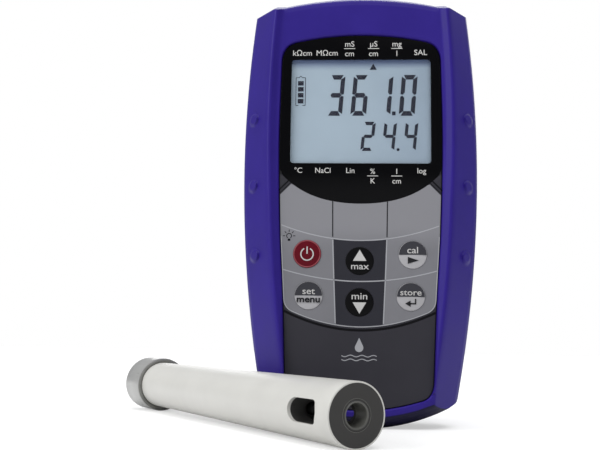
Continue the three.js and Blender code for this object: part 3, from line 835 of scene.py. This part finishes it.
def make_window():
    upper, _ = split_face()
    black = finish_material("window_black", srgb(7, 7, 9), 0.16, mottle=0.08, grain=(700, 0.004),
                            spread=0.03, specular=0.08)
    hole = rounded_rectangle(-LCD_HALF, LCD_HALF, LCD_LOW, LCD_TOP, 1.4)
    frame_mesh = plate(upper, *WINDOW_Y, edge=0.12, holes=[hole])
    to_object("window_frame", frame_mesh, black, "meter", ["display_window"])
    pane = rounded_rectangle(-LCD_HALF + 0.05, LCD_HALF - 0.05, LCD_LOW + 0.05, LCD_TOP - 0.05, 1.35)
    to_object("window_pane", plate(pane, -16.36, -15.9), clear_material(), "meter")

    y = WINDOW_Y[0] - PRINT / 2
    size = 2.9
    low_size = 2.7
    labels = [
        words("kΩcm", -21.1, 131.35, size, y), words("MΩcm", -12.2, 131.35, size, y),
        *fraction(-4.1, "mS", "cm", 133.95, size, y, 4.0),
        *fraction(4.5, "µS", "cm", 133.95, size, y, 4.0),
        *fraction(12.85, "mg", "l", 133.95, size, y, 4.0),
        words("SAL", 21.3, 131.45, size, y),
        words("°C", -21.9, 88.15, low_size, y), words("NaCl", -13.2, 88.15, low_size, y),
        words("Lin", -3.5, 88.15, low_size, y),
        *fraction(4.35, "%", "K", 87.15, low_size, y, 3.8),
        *fraction(12.8, "1", "cm", 87.15, low_size, y, 3.8),
        words("log", 21.5, 88.15, low_size, y),
    ]
    ink = finish_material("label_ink", srgb(205, 204, 202), 0.5, mottle=0.03, grain=(900, 0.01))
    to_object("window_labels", joined(labels), ink, "meter", sharp=0)


SEGMENTS = {
    "0": "abcdef", "1": "bc", "2": "abged", "3": "abgcd", "4": "fgbc", "6": "afgcde",
}


def segment_outlines(character, width, height, stroke_x, stroke_z):
    """The lit segments of one digit, each a bar with pointed ends, before it is slanted."""
    sx, sz = stroke_x, stroke_z
    middle = height / 2
    slit = 0.09 * stroke_z

    def across(z0, z1, taper_low, taper_high):
        return [(taper_low + slit, z0), (width - taper_low - slit, z0), (width - taper_high - slit, z1),
                (taper_high + slit, z1)]

    def standing(x0, x1, z0, z1, outside):
        inner = x1 if outside == x0 else x0
        lean = sz * 0.9
        if z0 < 0.1:
            return [(outside, z0 + 0.35 * sz), (inner, z0 + lean + slit), (inner, z1 - 0.62 * sz),
                    ((outside + inner) / 2, z1 - slit), (outside, z1 - 0.3 * sz)]
        return [(outside, z1 - 0.35 * sz), (inner, z1 - lean - slit), (inner, z0 + 0.62 * sz),
                ((outside + inner) / 2, z0 + slit), (outside, z0 + 0.3 * sz)]

    shapes = {
        "a": across(height - sz, height, sx * 0.95, sx * 0.35),
        "d": across(0, sz, sx * 0.35, sx * 0.95),
        "g": [(sx * 0.55, middle), (sx * 0.95, middle - sz / 2), (width - sx * 0.95, middle - sz / 2),
              (width - sx * 0.55, middle), (width - sx * 0.95, middle + sz / 2),
              (sx * 0.95, middle + sz / 2)],
        "f": standing(0, sx, middle, height, 0),
        "e": standing(0, sx, 0, middle, 0),
        "b": standing(width - sx, width, middle, height, width),
        "c": standing(width - sx, width, 0, middle, width),
    }
    return [shapes[key] for key in SEGMENTS[character]]


def digits(text, x, z, pitch, width, height, stroke_x, stroke_z, slant):
    outlines = []
    for index, character in enumerate(text):
        for outline in segment_outlines(character, width, height, stroke_x, stroke_z):
            outlines.append([(x + index * pitch + px + slant * pz, z + pz) for px, pz in outline])
    return outlines


def rectangle(x0, x1, z0, z1):
    return [(x0, z0), (x1, z0), (x1, z1), (x0, z1)]


def make_display():
    glass = rounded_rectangle(-LCD_HALF - 0.8, LCD_HALF + 0.8, 90.0, 131.5, 0.8)
    screen = plate(glass, LCD_FACE_Y, -13.5, edge=0.1)
    to_object("lcd_screen", screen, display_material(), "meter", ["lcd_glass"])
    marks = digits("3610", -12.3, 109.35, 8.62, 5.62, 15.1, 1.5, 1.7, 0.08)
    marks += digits("244", -0.05, 96.45, 7.56, 4.45, 10.65, 1.12, 1.18, 0.1)
    marks.append(rectangle(11.2, 12.45, 109.5, 110.9))
    marks.append(circle(13.35, 96.95, 0.55, 16))
    marks.append([(3.15, 126.4), (5.75, 126.4), (4.45, 128.7)])
    for index in range(4):
        low = 113.9 + index * 2.22
        marks.append(rectangle(-22.6, -20.55, low, low + 1.66))
    case = [(-22.3, 113.1), (-23.3, 113.1), (-23.3, 123.5), (-22.2, 123.5), (-21.6, 124.1), (-21.0, 123.5),
            (-19.9, 123.5), (-19.9, 113.1), (-20.9, 113.1)]
    for start, end in zip(case, case[1:]):
        marks.append(stroke([start, end], 0.22))
    y = LCD_FACE_Y
    ink = finish_material("segment_ink", srgb(22, 24, 40), 0.6, specular=0.15, mottle=0.04,
                          grain=(900, 0.01))
    lit = joined([prism(mark, y - 0.06, y - 0.01) for mark in marks])
    to_object("lcd_segments", lit, ink, "meter", sharp=0)


def panel_bottom(x):
    return 34.1 + 0.00936 * x * x


def arc_one(x):
    return 64.2 + 0.0070 * x * x


def arc_two(x):
    return 49.9 + 0.0055 * x * x


def column_at(z):
    """Half-width of the middle column, which narrows downwards."""
    return interpolate([(34, 8.2), (54, 9.05), (66, 9.45), (80, 9.6)], z)


def panel_outline(shrink=0.0):
    """The light key panel: window curve above, cut corners, tapering sides, curved foot."""
    def foot(x):
        return panel_bottom(x) + shrink

    cut_top = (24.3, 84.15 - shrink)
    cut_end = (28.15 - shrink, 80.3 - shrink * 0.4)
    waist = (27.65 - shrink, 65.6)
    low_start = (26.3 - shrink, 43.6)
    low_end = (23.4, foot(23.4))
    side = [cut_top, (27.75 - shrink, 80.7 - shrink * 0.4), cut_end, waist, low_start]
    side += bezier(low_start, (26.1 - shrink, 40.5 + shrink), low_end, 10)[1:]
    top = [(x, window_edge(x) - 0.12) for x in (-23.6 + i * 47.2 / 40 for i in range(41))]
    bottom = [(x, foot(x)) for x in (22.5 - i * 45 / 40 for i in range(41))]
    return top + side + bottom + [(-x, z) for x, z in reversed(side)]


def band(function, x0, x1, width, y, steps=40):
    """A printed line along a curve z = function(x)."""
    path = [(x0 + (x1 - x0) * i / steps, function(x0 + (x1 - x0) * i / steps)) for i in range(steps + 1)]
    return prism(stroke(path, width), y - PRINT, y)


def tile(z_low, z_high, y, hole):
    """One dark tile of the middle column, between two curves and round its key."""
    outline = []
    for function, turn in ((z_low, 1), (z_high, -1)):
        reach = column_at(function(9)) - 0.25
        outline += [(turn * reach * i / 6, function(reach * i / 6)) for i in range(-6, 7)]
    return plate(outline, y - PRINT, y, holes=[hole])


def to_film(name, prints, material):
    """Prints that lie on the keypad film, as one piece."""
    to_object(name, joined(prints), material, "meter", sharp=0)


def make_film():
    _, lower = split_face()
    dark = finish_material("film_dark", srgb(46, 45, 52), 0.5, mottle=0.05, grain=(4200, 0.05),
                           specular=0.25)
    key_holes = [circle(*key_place(name), KEY_RADIUS + 0.07, 64) for name in KEY_NODES]
    film = plate(lower, *FILM_Y, edge=0.08, holes=key_holes)
    to_object("keypad_film", film, dark, "meter", ["keypad_overlay"])

    y = FILM_Y[0]
    grey = panel_material()
    panel = plate(panel_outline(), y - 0.12, y - 0.005, holes=key_holes)
    to_object("key_panel", panel, grey, "meter")
    y -= 0.12
    light = finish_material("line_light", srgb(160, 161, 166), 0.5, mottle=0.04, grain=(2000, 0.02))
    lines = [
        band(arc_one, -27.5, 27.5, 0.36, y), band(arc_two, -26.6, 26.6, 0.36, y),
    ]
    for side in (-1, 1):
        path = [(side * column_at(z), z) for z in (35.4 + i * 29 / 12 for i in range(13))]
        lines.append(prism(stroke(path, 0.36), y - PRINT, y))
    edge = [(x, z) for x, z in panel_outline(0.15) if z < 79 and z < window_edge(x) - 1]
    lines.append(prism(stroke(edge, 0.3), y - PRINT, y))
    to_film("panel_lines", lines, light)

    slate = finish_material("tile_slate", srgb(38, 38, 46), 0.5, mottle=0.05, grain=(4200, 0.05),
                            specular=0.25)
    up_hole, down_hole = (key_holes[KEY_NODES.index(name)] for name in ("key_up", "key_down"))
    tiles = [
        tile(lambda x: arc_two(x) + 0.25, lambda x: arc_one(x) - 0.25, y, up_hole),
        tile(lambda x: panel_bottom(x) + 0.4, lambda x: arc_two(x) - 0.25, y, down_hole),
    ]
    to_film("middle_tiles", tiles, slate)

    black = finish_material("line_black", srgb(12, 12, 16), 0.5, mottle=0.04, grain=(2000, 0.02),
                            specular=0.1)
    grooves = []
    for side in (-1, 1):
        path = [(side * column_at(z), z) for z in (65.4 + i * 12.6 / 6 for i in range(7))]
        grooves.append(prism(stroke(path, 0.35), y - PRINT, y))
        for away, width in ((0.45, 0.22), (1.5, 0.5)):
            shift = away / math.sqrt(2)
            path = [(side * (24.0 + shift), 84.5 + shift), (side * (27.9 + shift), 80.6 + shift)]
            grooves.append(prism(stroke(path, width), FILM_Y[0] - PRINT, FILM_Y[0]))
    grooves.append(band(lambda x: panel_bottom(x) - 1.0, -26.1, 26.1, 0.8, FILM_Y[0]))
    to_film("panel_grooves", grooves, black)

    drop = [(0.0, 30.6)] + circle(0, 27.2, 1.45, 20, math.radians(28), math.radians(152 - 360))
    marks = [prism(drop, FILM_Y[0] - PRINT, FILM_Y[0])]
    for index in range(2):
        low = 24.4 - index * 1.3
        wave = [(x, low + 0.28 * math.sin(x * 1.6)) for x in (-6 + i * 12 / 48 for i in range(49))]
        marks.append(prism(stroke(wave, 0.28), FILM_Y[0] - PRINT, FILM_Y[0]))
    to_film("water_mark", marks, light)
    to_film("lamp_mark", lamp_mark(y), black)


def lamp_mark(y):
    """The little lamp beside the power key: a bulb, its foot and five rays."""
    x, z = -24.7, 65.6
    parts = [prism(stroke(circle(x, z, 0.85, 20, math.radians(-55), math.radians(235)), 0.28), y - PRINT, y),
             prism(rectangle(x - 0.45, x + 0.45, z - 1.75, z - 1.0), y - PRINT, y)]
    for step in range(5):
        angle = math.radians(step * 45)
        start = (x + 1.4 * math.cos(angle), z + 1.4 * math.sin(angle))
        end = (x + 2.2 * math.cos(angle), z + 2.2 * math.sin(angle))
        parts.append(prism(stroke([start, end], 0.25), y - PRINT, y))
    return parts


def panel_material():
    """Grey film, lighter towards the window."""
    material = finish_material("panel_grey", srgb(119, 119, 124), 0.5, mottle=0.03, grain=(4200, 0.05),
                               specular=0.25)
    tree = material.node_tree
    height = rising(tree, place_on(tree)["Z"], 60 * MM, 70 * MM, smooth=True)
    tint(material, height, srgb(132, 132, 137))
    return material


# ---- Keys ----

KEY_NODES = ["key_power", "key_up", "key_calibrate", "key_set", "key_down", "key_store"]


def key_cap(name, material):
    """A round cap with a softened rim and a slightly crowned front, on its stem."""
    x, z = key_place(name)
    crown = 0.16
    front = [(0.0, KEY_FRONT_Y)]
    for step in range(1, 7):
        part = step / 6
        front.append(((KEY_RADIUS - 0.22) * part, KEY_FRONT_Y + crown * part * part))
    rim = bezier((KEY_RADIUS - 0.22, KEY_FRONT_Y + crown), (KEY_RADIUS, KEY_FRONT_Y + crown + 0.02),
                 (KEY_RADIUS, KEY_FRONT_Y + crown + 0.22), 5)[1:]
    body = [(KEY_RADIUS, -15.3), (2.4, -15.3), (2.4, -13.1), (0.0, -13.1)]
    cap = shifted(turned(front + rim + body, 72), x, z)
    to_object(f"{name}_cap", cap, material, name, [name])


def on_key(name, meshes, material, label):
    x, z = key_place(name)
    to_object(f"{name}_{label}", shifted(joined(meshes), x, z), material, name, sharp=0)


def half_disc(radius, upper, y):
    start = 0.0 if upper else math.pi
    return prism(circle(0, 0, radius, 40, start, start + math.pi), y, KEY_FRONT_Y + 0.3)


def make_keys():
    def moulded(name, colour, rough, mottle, specular):
        return finish_material(name, srgb(*colour), rough, mottle=mottle, grain=(2600, 0.03),
                               specular=specular)

    red = moulded("key_red", (92, 8, 24), 0.42, 0.06, 0.13)
    black = moulded("key_black", (8, 8, 10), 0.42, 0.06, 0.1)
    pale = moulded("key_pale", (166, 165, 168), 0.5, 0.04, 0.3)
    dark = moulded("key_dark", (52, 52, 58), 0.5, 0.05, 0.25)
    white = finish_material("key_white", srgb(188, 187, 186), 0.5, mottle=0.03, grain=(2000, 0.02))
    ink = finish_material("key_ink", srgb(26, 26, 30), 0.5, mottle=0.03, grain=(2000, 0.02), specular=0.2)
    key_cap("key_power", red)
    for name in ("key_up", "key_down"):
        key_cap(name, black)
    for name in ("key_calibrate", "key_set", "key_store"):
        key_cap(name, pale)
        on_key(name, [half_disc(KEY_RADIUS - 0.12, True, KEY_FRONT_Y - 0.05)], dark, "upper")
    y = KEY_FRONT_Y - 0.08

    def flat(outline):
        return prism(outline, y - PRINT / 2, y + 0.25)

    def text(letters, x, z, size, weight=0.02):
        return words(letters, x, z, size, y, 0.16, 1.18, weight)

    arc = circle(0, -0.1, 2.15, 40, math.radians(118), math.radians(422))
    on_key("key_power", [flat(stroke(arc, 0.42)), flat(rectangle(-0.21, 0.21, 0.0, 2.5))], white, "mark")
    # A paler pink ring on the power key's rounded rim: a painted highlight.
    rim = turned([(KEY_RADIUS - 0.45, KEY_FRONT_Y + 0.04), (KEY_RADIUS - 0.05, KEY_FRONT_Y + 0.14),
                  (KEY_RADIUS - 0.05, KEY_FRONT_Y + 0.4), (KEY_RADIUS - 0.45, KEY_FRONT_Y + 0.4)], 72)
    painted_rim_highlight = finish_material("key_rim_painted_highlight", srgb(140, 52, 62), 0.45, mottle=0.05, grain=(2600, 0.03))
    on_key("key_power", [rim], painted_rim_highlight, "rim")
    above = flat([(-2.35, 0.0), (2.35, 0.0), (0, 3.9)])
    below = flat([(-2.35, -0.05), (0, -3.95), (2.35, -0.05)])
    on_key("key_up", [above, text("max", 0, -2.9, 3.15)], white, "mark")
    on_key("key_down", [below, text("min", 0, 1.0, 3.3)], white, "mark")
    on_key("key_calibrate", [text("cal", 0, 0.55, 3.2)], white, "word")
    on_key("key_calibrate", [flat([(-1.7, -0.75), (-1.7, -3.1), (2.0, -1.95)])], ink, "mark")
    on_key("key_set", [text("set", 0, 0.5, 3.15)], white, "word")
    on_key("key_set", [text("menu", 0, -2.3, 3.15, 0.08)], ink, "mark")
    on_key("key_store", [text("store", 0, 0.5, 2.95)], white, "word")
    on_key("key_store", [flat([(-1.9, -2.35), (-0.1, -1.25), (-0.1, -3.45)]),
                         flat(stroke([(-0.4, -2.35), (1.6, -2.35)], 0.42)),
                         flat(stroke([(1.6, -2.56), (1.6, -0.7)], 0.42))], ink, "mark")


# ---- Probe ----

PROBE_LENGTH = 170
PROBE_NEAR = (-1.2, -79.4)
PROBE_TURN = math.radians(31.85)
PROBE_ROLL = math.radians(2)
TUBE_RADIUS = 9.05
TUBE_WALL = 1.05
TUBE_END = 160
CAP_RADIUS = 10.9
CAP_LENGTH = 17
BORE_RADIUS = 3.3
CORE_LENGTH = 30
SLOT_START = 6.7
SLOT_LENGTH = 16
SLOT_HALF = 3.35
SLOT_HALF_FAR = 2.75
SLOT_REACH = 12                       # from the axis, well past the tube on either side


def probe_matrix():
    """From the probe's own frame, tip at the origin and axis along +Y, to the row's frame."""
    tilt = math.asin((CAP_RADIUS - TUBE_RADIUS) / (PROBE_LENGTH - CAP_LENGTH))
    place = Matrix.Translation(Vector((*PROBE_NEAR, TUBE_RADIUS * math.cos(tilt))) * MM)
    return (place @ Matrix.Rotation(PROBE_TURN, 4, "Z") @ Matrix.Rotation(tilt, 4, "X")
            @ Matrix.Rotation(PROBE_ROLL, 4, "Y"))


def flow_slot(half, low=-SLOT_REACH, high=SLOT_REACH):
    """A slot across the probe along X, round at its rear end and slightly bowed in front."""
    start = SLOT_START
    rear = start + SLOT_LENGTH - half
    upper = bezier((start + 2.9, half), (start + 1.1, half), (start + 0.7, half - 1.25), 8)
    upper += bezier((start + 0.7, half - 1.25), (start + 0.2, half * 0.3), (start, 0), 6)[1:]
    outline = upper + [(y, -z) for y, z in reversed(upper[:-1])]
    outline += circle(rear, 0, half, 24, -math.pi / 2, math.pi / 2)
    return between([(low, y, z) for y, z in outline], [(high, y, z) for y, z in outline])


def rod_z(radius, y, low, high):
    return upright(turned([(0, low), (radius, low), (radius, high), (0, high)], 40), 0, y)


def to_probe(name, mesh, material, replaces=(), sharp=math.radians(32)):
    mesh.transform(probe_matrix())
    return to_object(name, mesh, material, "probe", replaces, sharp)


def make_probe():
    inner = TUBE_RADIUS - TUBE_WALL
    rim = TUBE_RADIUS - 0.45
    white = finish_material("tube_white", srgb(203, 202, 197), 0.4, mottle=0.025, grain=(1800, 0.03))
    tube = turned([(rim, 0.0), (TUBE_RADIUS - 0.14, 0.0), (TUBE_RADIUS - 0.04, 0.04), (TUBE_RADIUS, 0.16),
                   *[(TUBE_RADIUS, 0.16 + (TUBE_END - 0.16) * i / 24) for i in range(1, 25)],
                   (inner, TUBE_END), (inner, 0.62)], 160)
    tube = cut(tube, flow_slot(SLOT_HALF))
    to_probe("probe_sleeve", tube, white, ["probe_tube"])

    grey = finish_material("core_grey", srgb(58, 57, 56), 0.55, mottle=0.08, grain=(1500, 0.05),
                           specular=0.3)
    face = [(4.15, 0.02), (4.25, 0.12), (4.38, 0.12), (4.48, 0.02)]
    mouth = [(BORE_RADIUS, 1.1), (BORE_RADIUS + 0.1, 0.5), (BORE_RADIUS + 0.25, 0.16),
             (BORE_RADIUS + 0.5, 0.02)]
    core = turned([*mouth, *face, (rim - 0.02, 0.02), (inner - 0.02, 0.64),
                   (inner - 0.02, CORE_LENGTH), (0, CORE_LENGTH), (0, 24), (BORE_RADIUS, 24)], 128)
    core = cut(core, flow_slot(SLOT_HALF, high=0), flow_slot(SLOT_HALF_FAR, low=0),
               *[rod_z(1.8, y, -10, 10) for y in (10.5, 18.7)],
               turned([(0, 23), (2.0, 23), (2.0, 31), (0, 31)], 40))
    to_probe("core_body", core, grey, ["cell_core"])

    # The collar and thread ring are a lighter grey than the core: a painted highlight where the bore's
    # chamfer catches the light. Their lower roughness is their own gloss.
    ring = finish_material("bore_ring_painted_highlight", srgb(86, 86, 82), 0.35, mottle=0.05, grain=(1500, 0.03))
    collar = turned([(BORE_RADIUS - 0.1, 5.6), (BORE_RADIUS - 0.1, 0.34), (BORE_RADIUS + 0.02, 0.1),
                     (BORE_RADIUS + 0.2, 0.02), (BORE_RADIUS + 0.42, 0.0), (BORE_RADIUS + 0.5, 0.06),
                     (BORE_RADIUS + 0.3, 0.5), (BORE_RADIUS + 0.08, 1.4), (BORE_RADIUS + 0.08, 5.6)], 96)
    thread = turned([(4.34, 0.0), (4.5, 0.0), (4.5, 0.08), (4.34, 0.08)], 96)
    to_probe("bore_liner", joined([collar, thread]), ring)

    cap_start = PROBE_LENGTH - CAP_LENGTH
    cap_grey = finish_material("cap_grey", srgb(176, 176, 174), 0.3, metal=0.35, mottle=0.03,
                               grain=(260, 0.05), stretch=(1, 1, 14))
    cap = turned([(TUBE_RADIUS + 0.02, cap_start), (CAP_RADIUS - 0.25, cap_start),
                  (CAP_RADIUS - 0.07, cap_start + 0.08), (CAP_RADIUS, cap_start + 0.28),
                  (CAP_RADIUS, PROBE_LENGTH - 0.8),
                  (CAP_RADIUS - 0.25, PROBE_LENGTH - 0.2), (CAP_RADIUS - 0.8, PROBE_LENGTH),
                  (3.3, PROBE_LENGTH),
                  (3.3, 163.5), (TUBE_RADIUS + 0.02, 163.5)], 128)
    to_probe("end_cap", cap, cap_grey, ["probe_end_cap"])
    rim_grey = finish_material("cap_rim_grey", srgb(120, 120, 116), 0.45, mottle=0.04, grain=(1500, 0.04))
    lip = turned([(TUBE_RADIUS + 0.03, cap_start - 0.02), (CAP_RADIUS - 0.3, cap_start - 0.02),
                  (CAP_RADIUS - 0.3, cap_start + 0.01), (TUBE_RADIUS + 0.03, cap_start + 0.01)], 128)
    to_probe("cap_front_ring", lip, rim_grey, sharp=0)

    rubber = finish_material("gland_black", srgb(46, 46, 49), 0.6, mottle=0.06, grain=(3000, 0.08))
    ribs = []
    for index in range(4):
        start = PROBE_LENGTH + 1.2 + index * 1.5
        ribs += [(4.0, start), (3.55, start + 0.2), (3.55, start + 0.6), (4.0, start + 0.8)]
    gland = turned([(2.0, 164.5), (3.0, 164.5), (3.0, PROBE_LENGTH + 0.02), (4.0, PROBE_LENGTH + 0.02),
                    *ribs,
                    (3.9, PROBE_LENGTH + 7.4), (3.4, PROBE_LENGTH + 8), (2.0, PROBE_LENGTH + 8)], 64)
    to_probe("cord_gland", gland, rubber, ["cable_gland"])


# ---- Back of the meter, and the sockets in its top ----

SCREW_HEAD = 2.5
SCREW_SHANK = 1.2
CROSS = (1.5, 0.27)                   # the reach and half-width of the cross in a screw's head
SOCKET_Y = 4
SOCKETS = {
    "sensor_socket": {"x": -13.5, "body": 6.2, "bore": 4.9, "flange": 7.4, "hole": 9, "pins": 7,
                      "circle": 3.1},
    "interface_socket": {"x": 14.5, "body": 4.8, "bore": 3.6, "flange": 6.2, "hole": 7.6, "pins": 4,
                         "circle": 1.9},
}
INNER_Z, FLOOR_Z, FLANGE_Z, OUTER_Z = 143, 149, 156.4, 157.6
INSERT_Z = 150.65                     # the front of the insert that holds the pins
HOLE_Z = (150, 162)                   # the holes through the boot's top
STAND_LEAF = 2.6                      # the stand's thickness
STAND_PIVOT = 1.9                     # its pivot, in from its top and from its back


def span(name):
    """A CAD node's two corners in millimetres."""
    low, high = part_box(name)
    return low / MM, high / MM


def make_screw(name, steel):
    low, high = span(name)
    head = high.y
    screw = turned([(0, low.y), (SCREW_SHANK, low.y), (SCREW_SHANK, head - 1.5), (SCREW_HEAD, head - 1.5),
                    (SCREW_HEAD, head - 0.4), (SCREW_HEAD - 0.15, head - 0.14),
                    (SCREW_HEAD - 0.6, head - 0.03), (SCREW_HEAD - 1.0, head), (0, head)], 48)
    reach, half = CROSS
    arms = [rectangle(-reach, reach, -half, half), rectangle(-half, half, -reach, reach)]
    screw = cut(screw, *[prism(arm, head - 0.8, head + 0.2) for arm in arms])
    middle = (low + high) / 2
    to_object(f"{name}_turned", shifted(screw, middle.x, middle.z), steel, "meter", [name])


def grip_ribs(count, half, first, height, y, rise, edge):
    """Level ribs, 2 mm apart, that stand out of a surface at depth y."""
    ribs = []
    for step in range(count):
        low = first + step * 2
        outline = rounded_rectangle(-half(step), half(step), low, low + height, 0.5)
        ribs.append(plate(outline, y - 0.1, y + rise, edge=edge))
    return ribs


def make_back(plastic, steel):
    """The battery cover with its grip ribs, the tilt stand with its finger ribs, and the screws."""
    low, high = span("battery_cover")
    screws = [span(f"battery_cover_screw_{index}") for index in (1, 2)]
    holes = [circle(0, (a.z + b.z) / 2, SCREW_HEAD + 0.06) for a, b in screws]
    outline = rounded_rectangle(low.x, high.x, low.z, high.z, 1.0)
    cover = plate(outline, low.y, high.y, edge=0.28, holes=holes)
    ribs = grip_ribs(5, lambda step: 9 - step, 66, 1.1, high.y, 0.45, 0.18)
    to_object("cover_panel", joined([cover, *ribs]), plastic, "meter", ["battery_cover"])

    low, high = span("tilt_stand")
    pivot_z = high.z - STAND_PIVOT
    leaf = plate(rounded_rectangle(low.x, high.x, low.z, pivot_z + 1.2, 1.2), high.y - STAND_LEAF, high.y,
                 edge=0.28)
    barrel = turned([(0.75, low.x), (1.6, low.x), (1.85, low.x + 0.25), (1.85, high.x - 0.25),
                     (1.6, high.x), (0.75, high.x)], 48)
    pivot = Matrix.Translation((0, (high.y - STAND_PIVOT) * MM, pivot_z * MM))
    barrel.transform(pivot @ Matrix.Rotation(-math.pi / 2, 4, "Z"))
    ribs = grip_ribs(4, lambda step: 8, 89, 1, high.y, 0.4, 0.16)
    stand = joined([leaf, barrel, *ribs])
    to_object("stand_leaf", stand, plastic, "stand", ["tilt_stand"])

    for index in (1, 2, 3, 4):
        make_screw(f"housing_screw_{index}", steel)
    for index in (1, 2):
        make_screw(f"battery_cover_screw_{index}", steel)


def make_sockets(steel, gold, dark):
    """Round sockets with a lipped flange, and gold pins in a dark insert."""
    for name, size in SOCKETS.items():
        x, body, bore, flange = (size[key] for key in ("x", "body", "bore", "flange"))
        shell = turned([(0, INNER_Z), (body, INNER_Z), (body, FLANGE_Z), (flange, FLANGE_Z),
                        (flange, OUTER_Z - 0.35), (flange - 0.12, OUTER_Z - 0.1), (flange - 0.4, OUTER_Z),
                        (bore + 0.5, OUTER_Z), (bore + 0.12, OUTER_Z - 0.12), (bore, OUTER_Z - 0.5),
                        (bore, FLOOR_Z), (0, FLOOR_Z)], 72)
        to_object(f"{name}_shell", upright(shell, x, SOCKET_Y), steel, "meter", [name])
        low, high = span(f"{name}_pins")
        insert = turned([(0, low.z), (bore - 0.05, low.z), (bore - 0.05, INSERT_Z - 0.2),
                         (bore - 0.25, INSERT_Z), (0, INSERT_Z)], 64)
        to_object(f"{name}_insert", upright(insert, x, SOCKET_Y), dark, "meter")
        pins = []
        for index in range(size["pins"]):
            angle = 2 * math.pi * index / size["pins"]
            pin = turned([(0, INSERT_Z - 0.5), (0.5, INSERT_Z - 0.5), (0.5, high.z - 0.45),
                          (0.42, high.z - 0.15), (0.2, high.z), (0, high.z)], 24)
            away = size["circle"]
            pins.append(upright(pin, x + away * math.cos(angle), SOCKET_Y + away * math.sin(angle)))
        to_object(f"{name}_contacts", joined(pins), gold, "meter", [f"{name}_pins"])


# ---- Everything else that carries over from the CAD ----

# By slot: the material's name, its colour as seen, its roughness and what sets it apart.
CARRIED_LOOKS = {
    "housing_plastic": ("housing_plastic", (48, 48, 54), 0.5, {"grain": (5200, 0.16), "mottle": 0.05}),
    "seal_rubber": ("seal_rubber", (28, 28, 30), 0.7, {"grain": (3000, 0.08)}),
    "mat_rubber": ("mat_rubber", (76, 77, 82), 0.75, {"grain": (3000, 0.08)}),
    "light_guide": ("light_guide", (238, 238, 232), 0.4, {"grain": (900, 0.02)}),
    "circuit_board": ("circuit_board", (28, 92, 60), 0.35, {"grain": (1200, 0.08), "mottle": 0.15}),
    "chip_black": ("chip_black", (26, 26, 28), 0.45, {"grain": (2500, 0.06)}),
    "steel": ("steel", (186, 188, 190), 0.3, {"metal": 1.0, "grain": (400, 0.05), "stretch": (1, 1, 8)}),
    "brass": ("gold_contact", (206, 176, 96), 0.25, {"metal": 1.0, "grain": (900, 0.02)}),
    "cell_jacket": ("cell_jacket", (120, 124, 130), 0.3, {"metal": 0.6, "grain": (900, 0.02)}),
    "graphite": ("graphite", (40, 40, 43), 0.38, {"metal": 0.2, "grain": (2400, 0.12), "mottle": 0.2}),
    "gland_black": ("lead_jacket", (40, 40, 43), 0.6, {"grain": (3000, 0.06)}),
}


def dress_cad_nodes():
    looks = {slot: finish_material(name, srgb(*colour), rough, **options)
             for slot, (name, colour, rough, options) in CARRIED_LOOKS.items()}
    make_back(looks["housing_plastic"], looks["steel"])
    make_sockets(looks["steel"], looks["brass"], looks["chip_black"])
    coated = finish_material("coated_sensor", srgb(34, 34, 34), 0.6, grain=(2400, 0.06), specular=0.15)
    for entry in frame["record"]["subparts"]:
        node = nodes[entry["node"]]
        look = coated if entry["node"] == "temperature_sensor" else looks.get(entry["material_slot"])
        if look and not node.hide_render:
            node.data.materials.clear()
            node.data.materials.append(look)


make_stage()
make_boot()
make_window()
make_display()
make_film()
make_keys()
make_probe()
dress_cad_nodes()
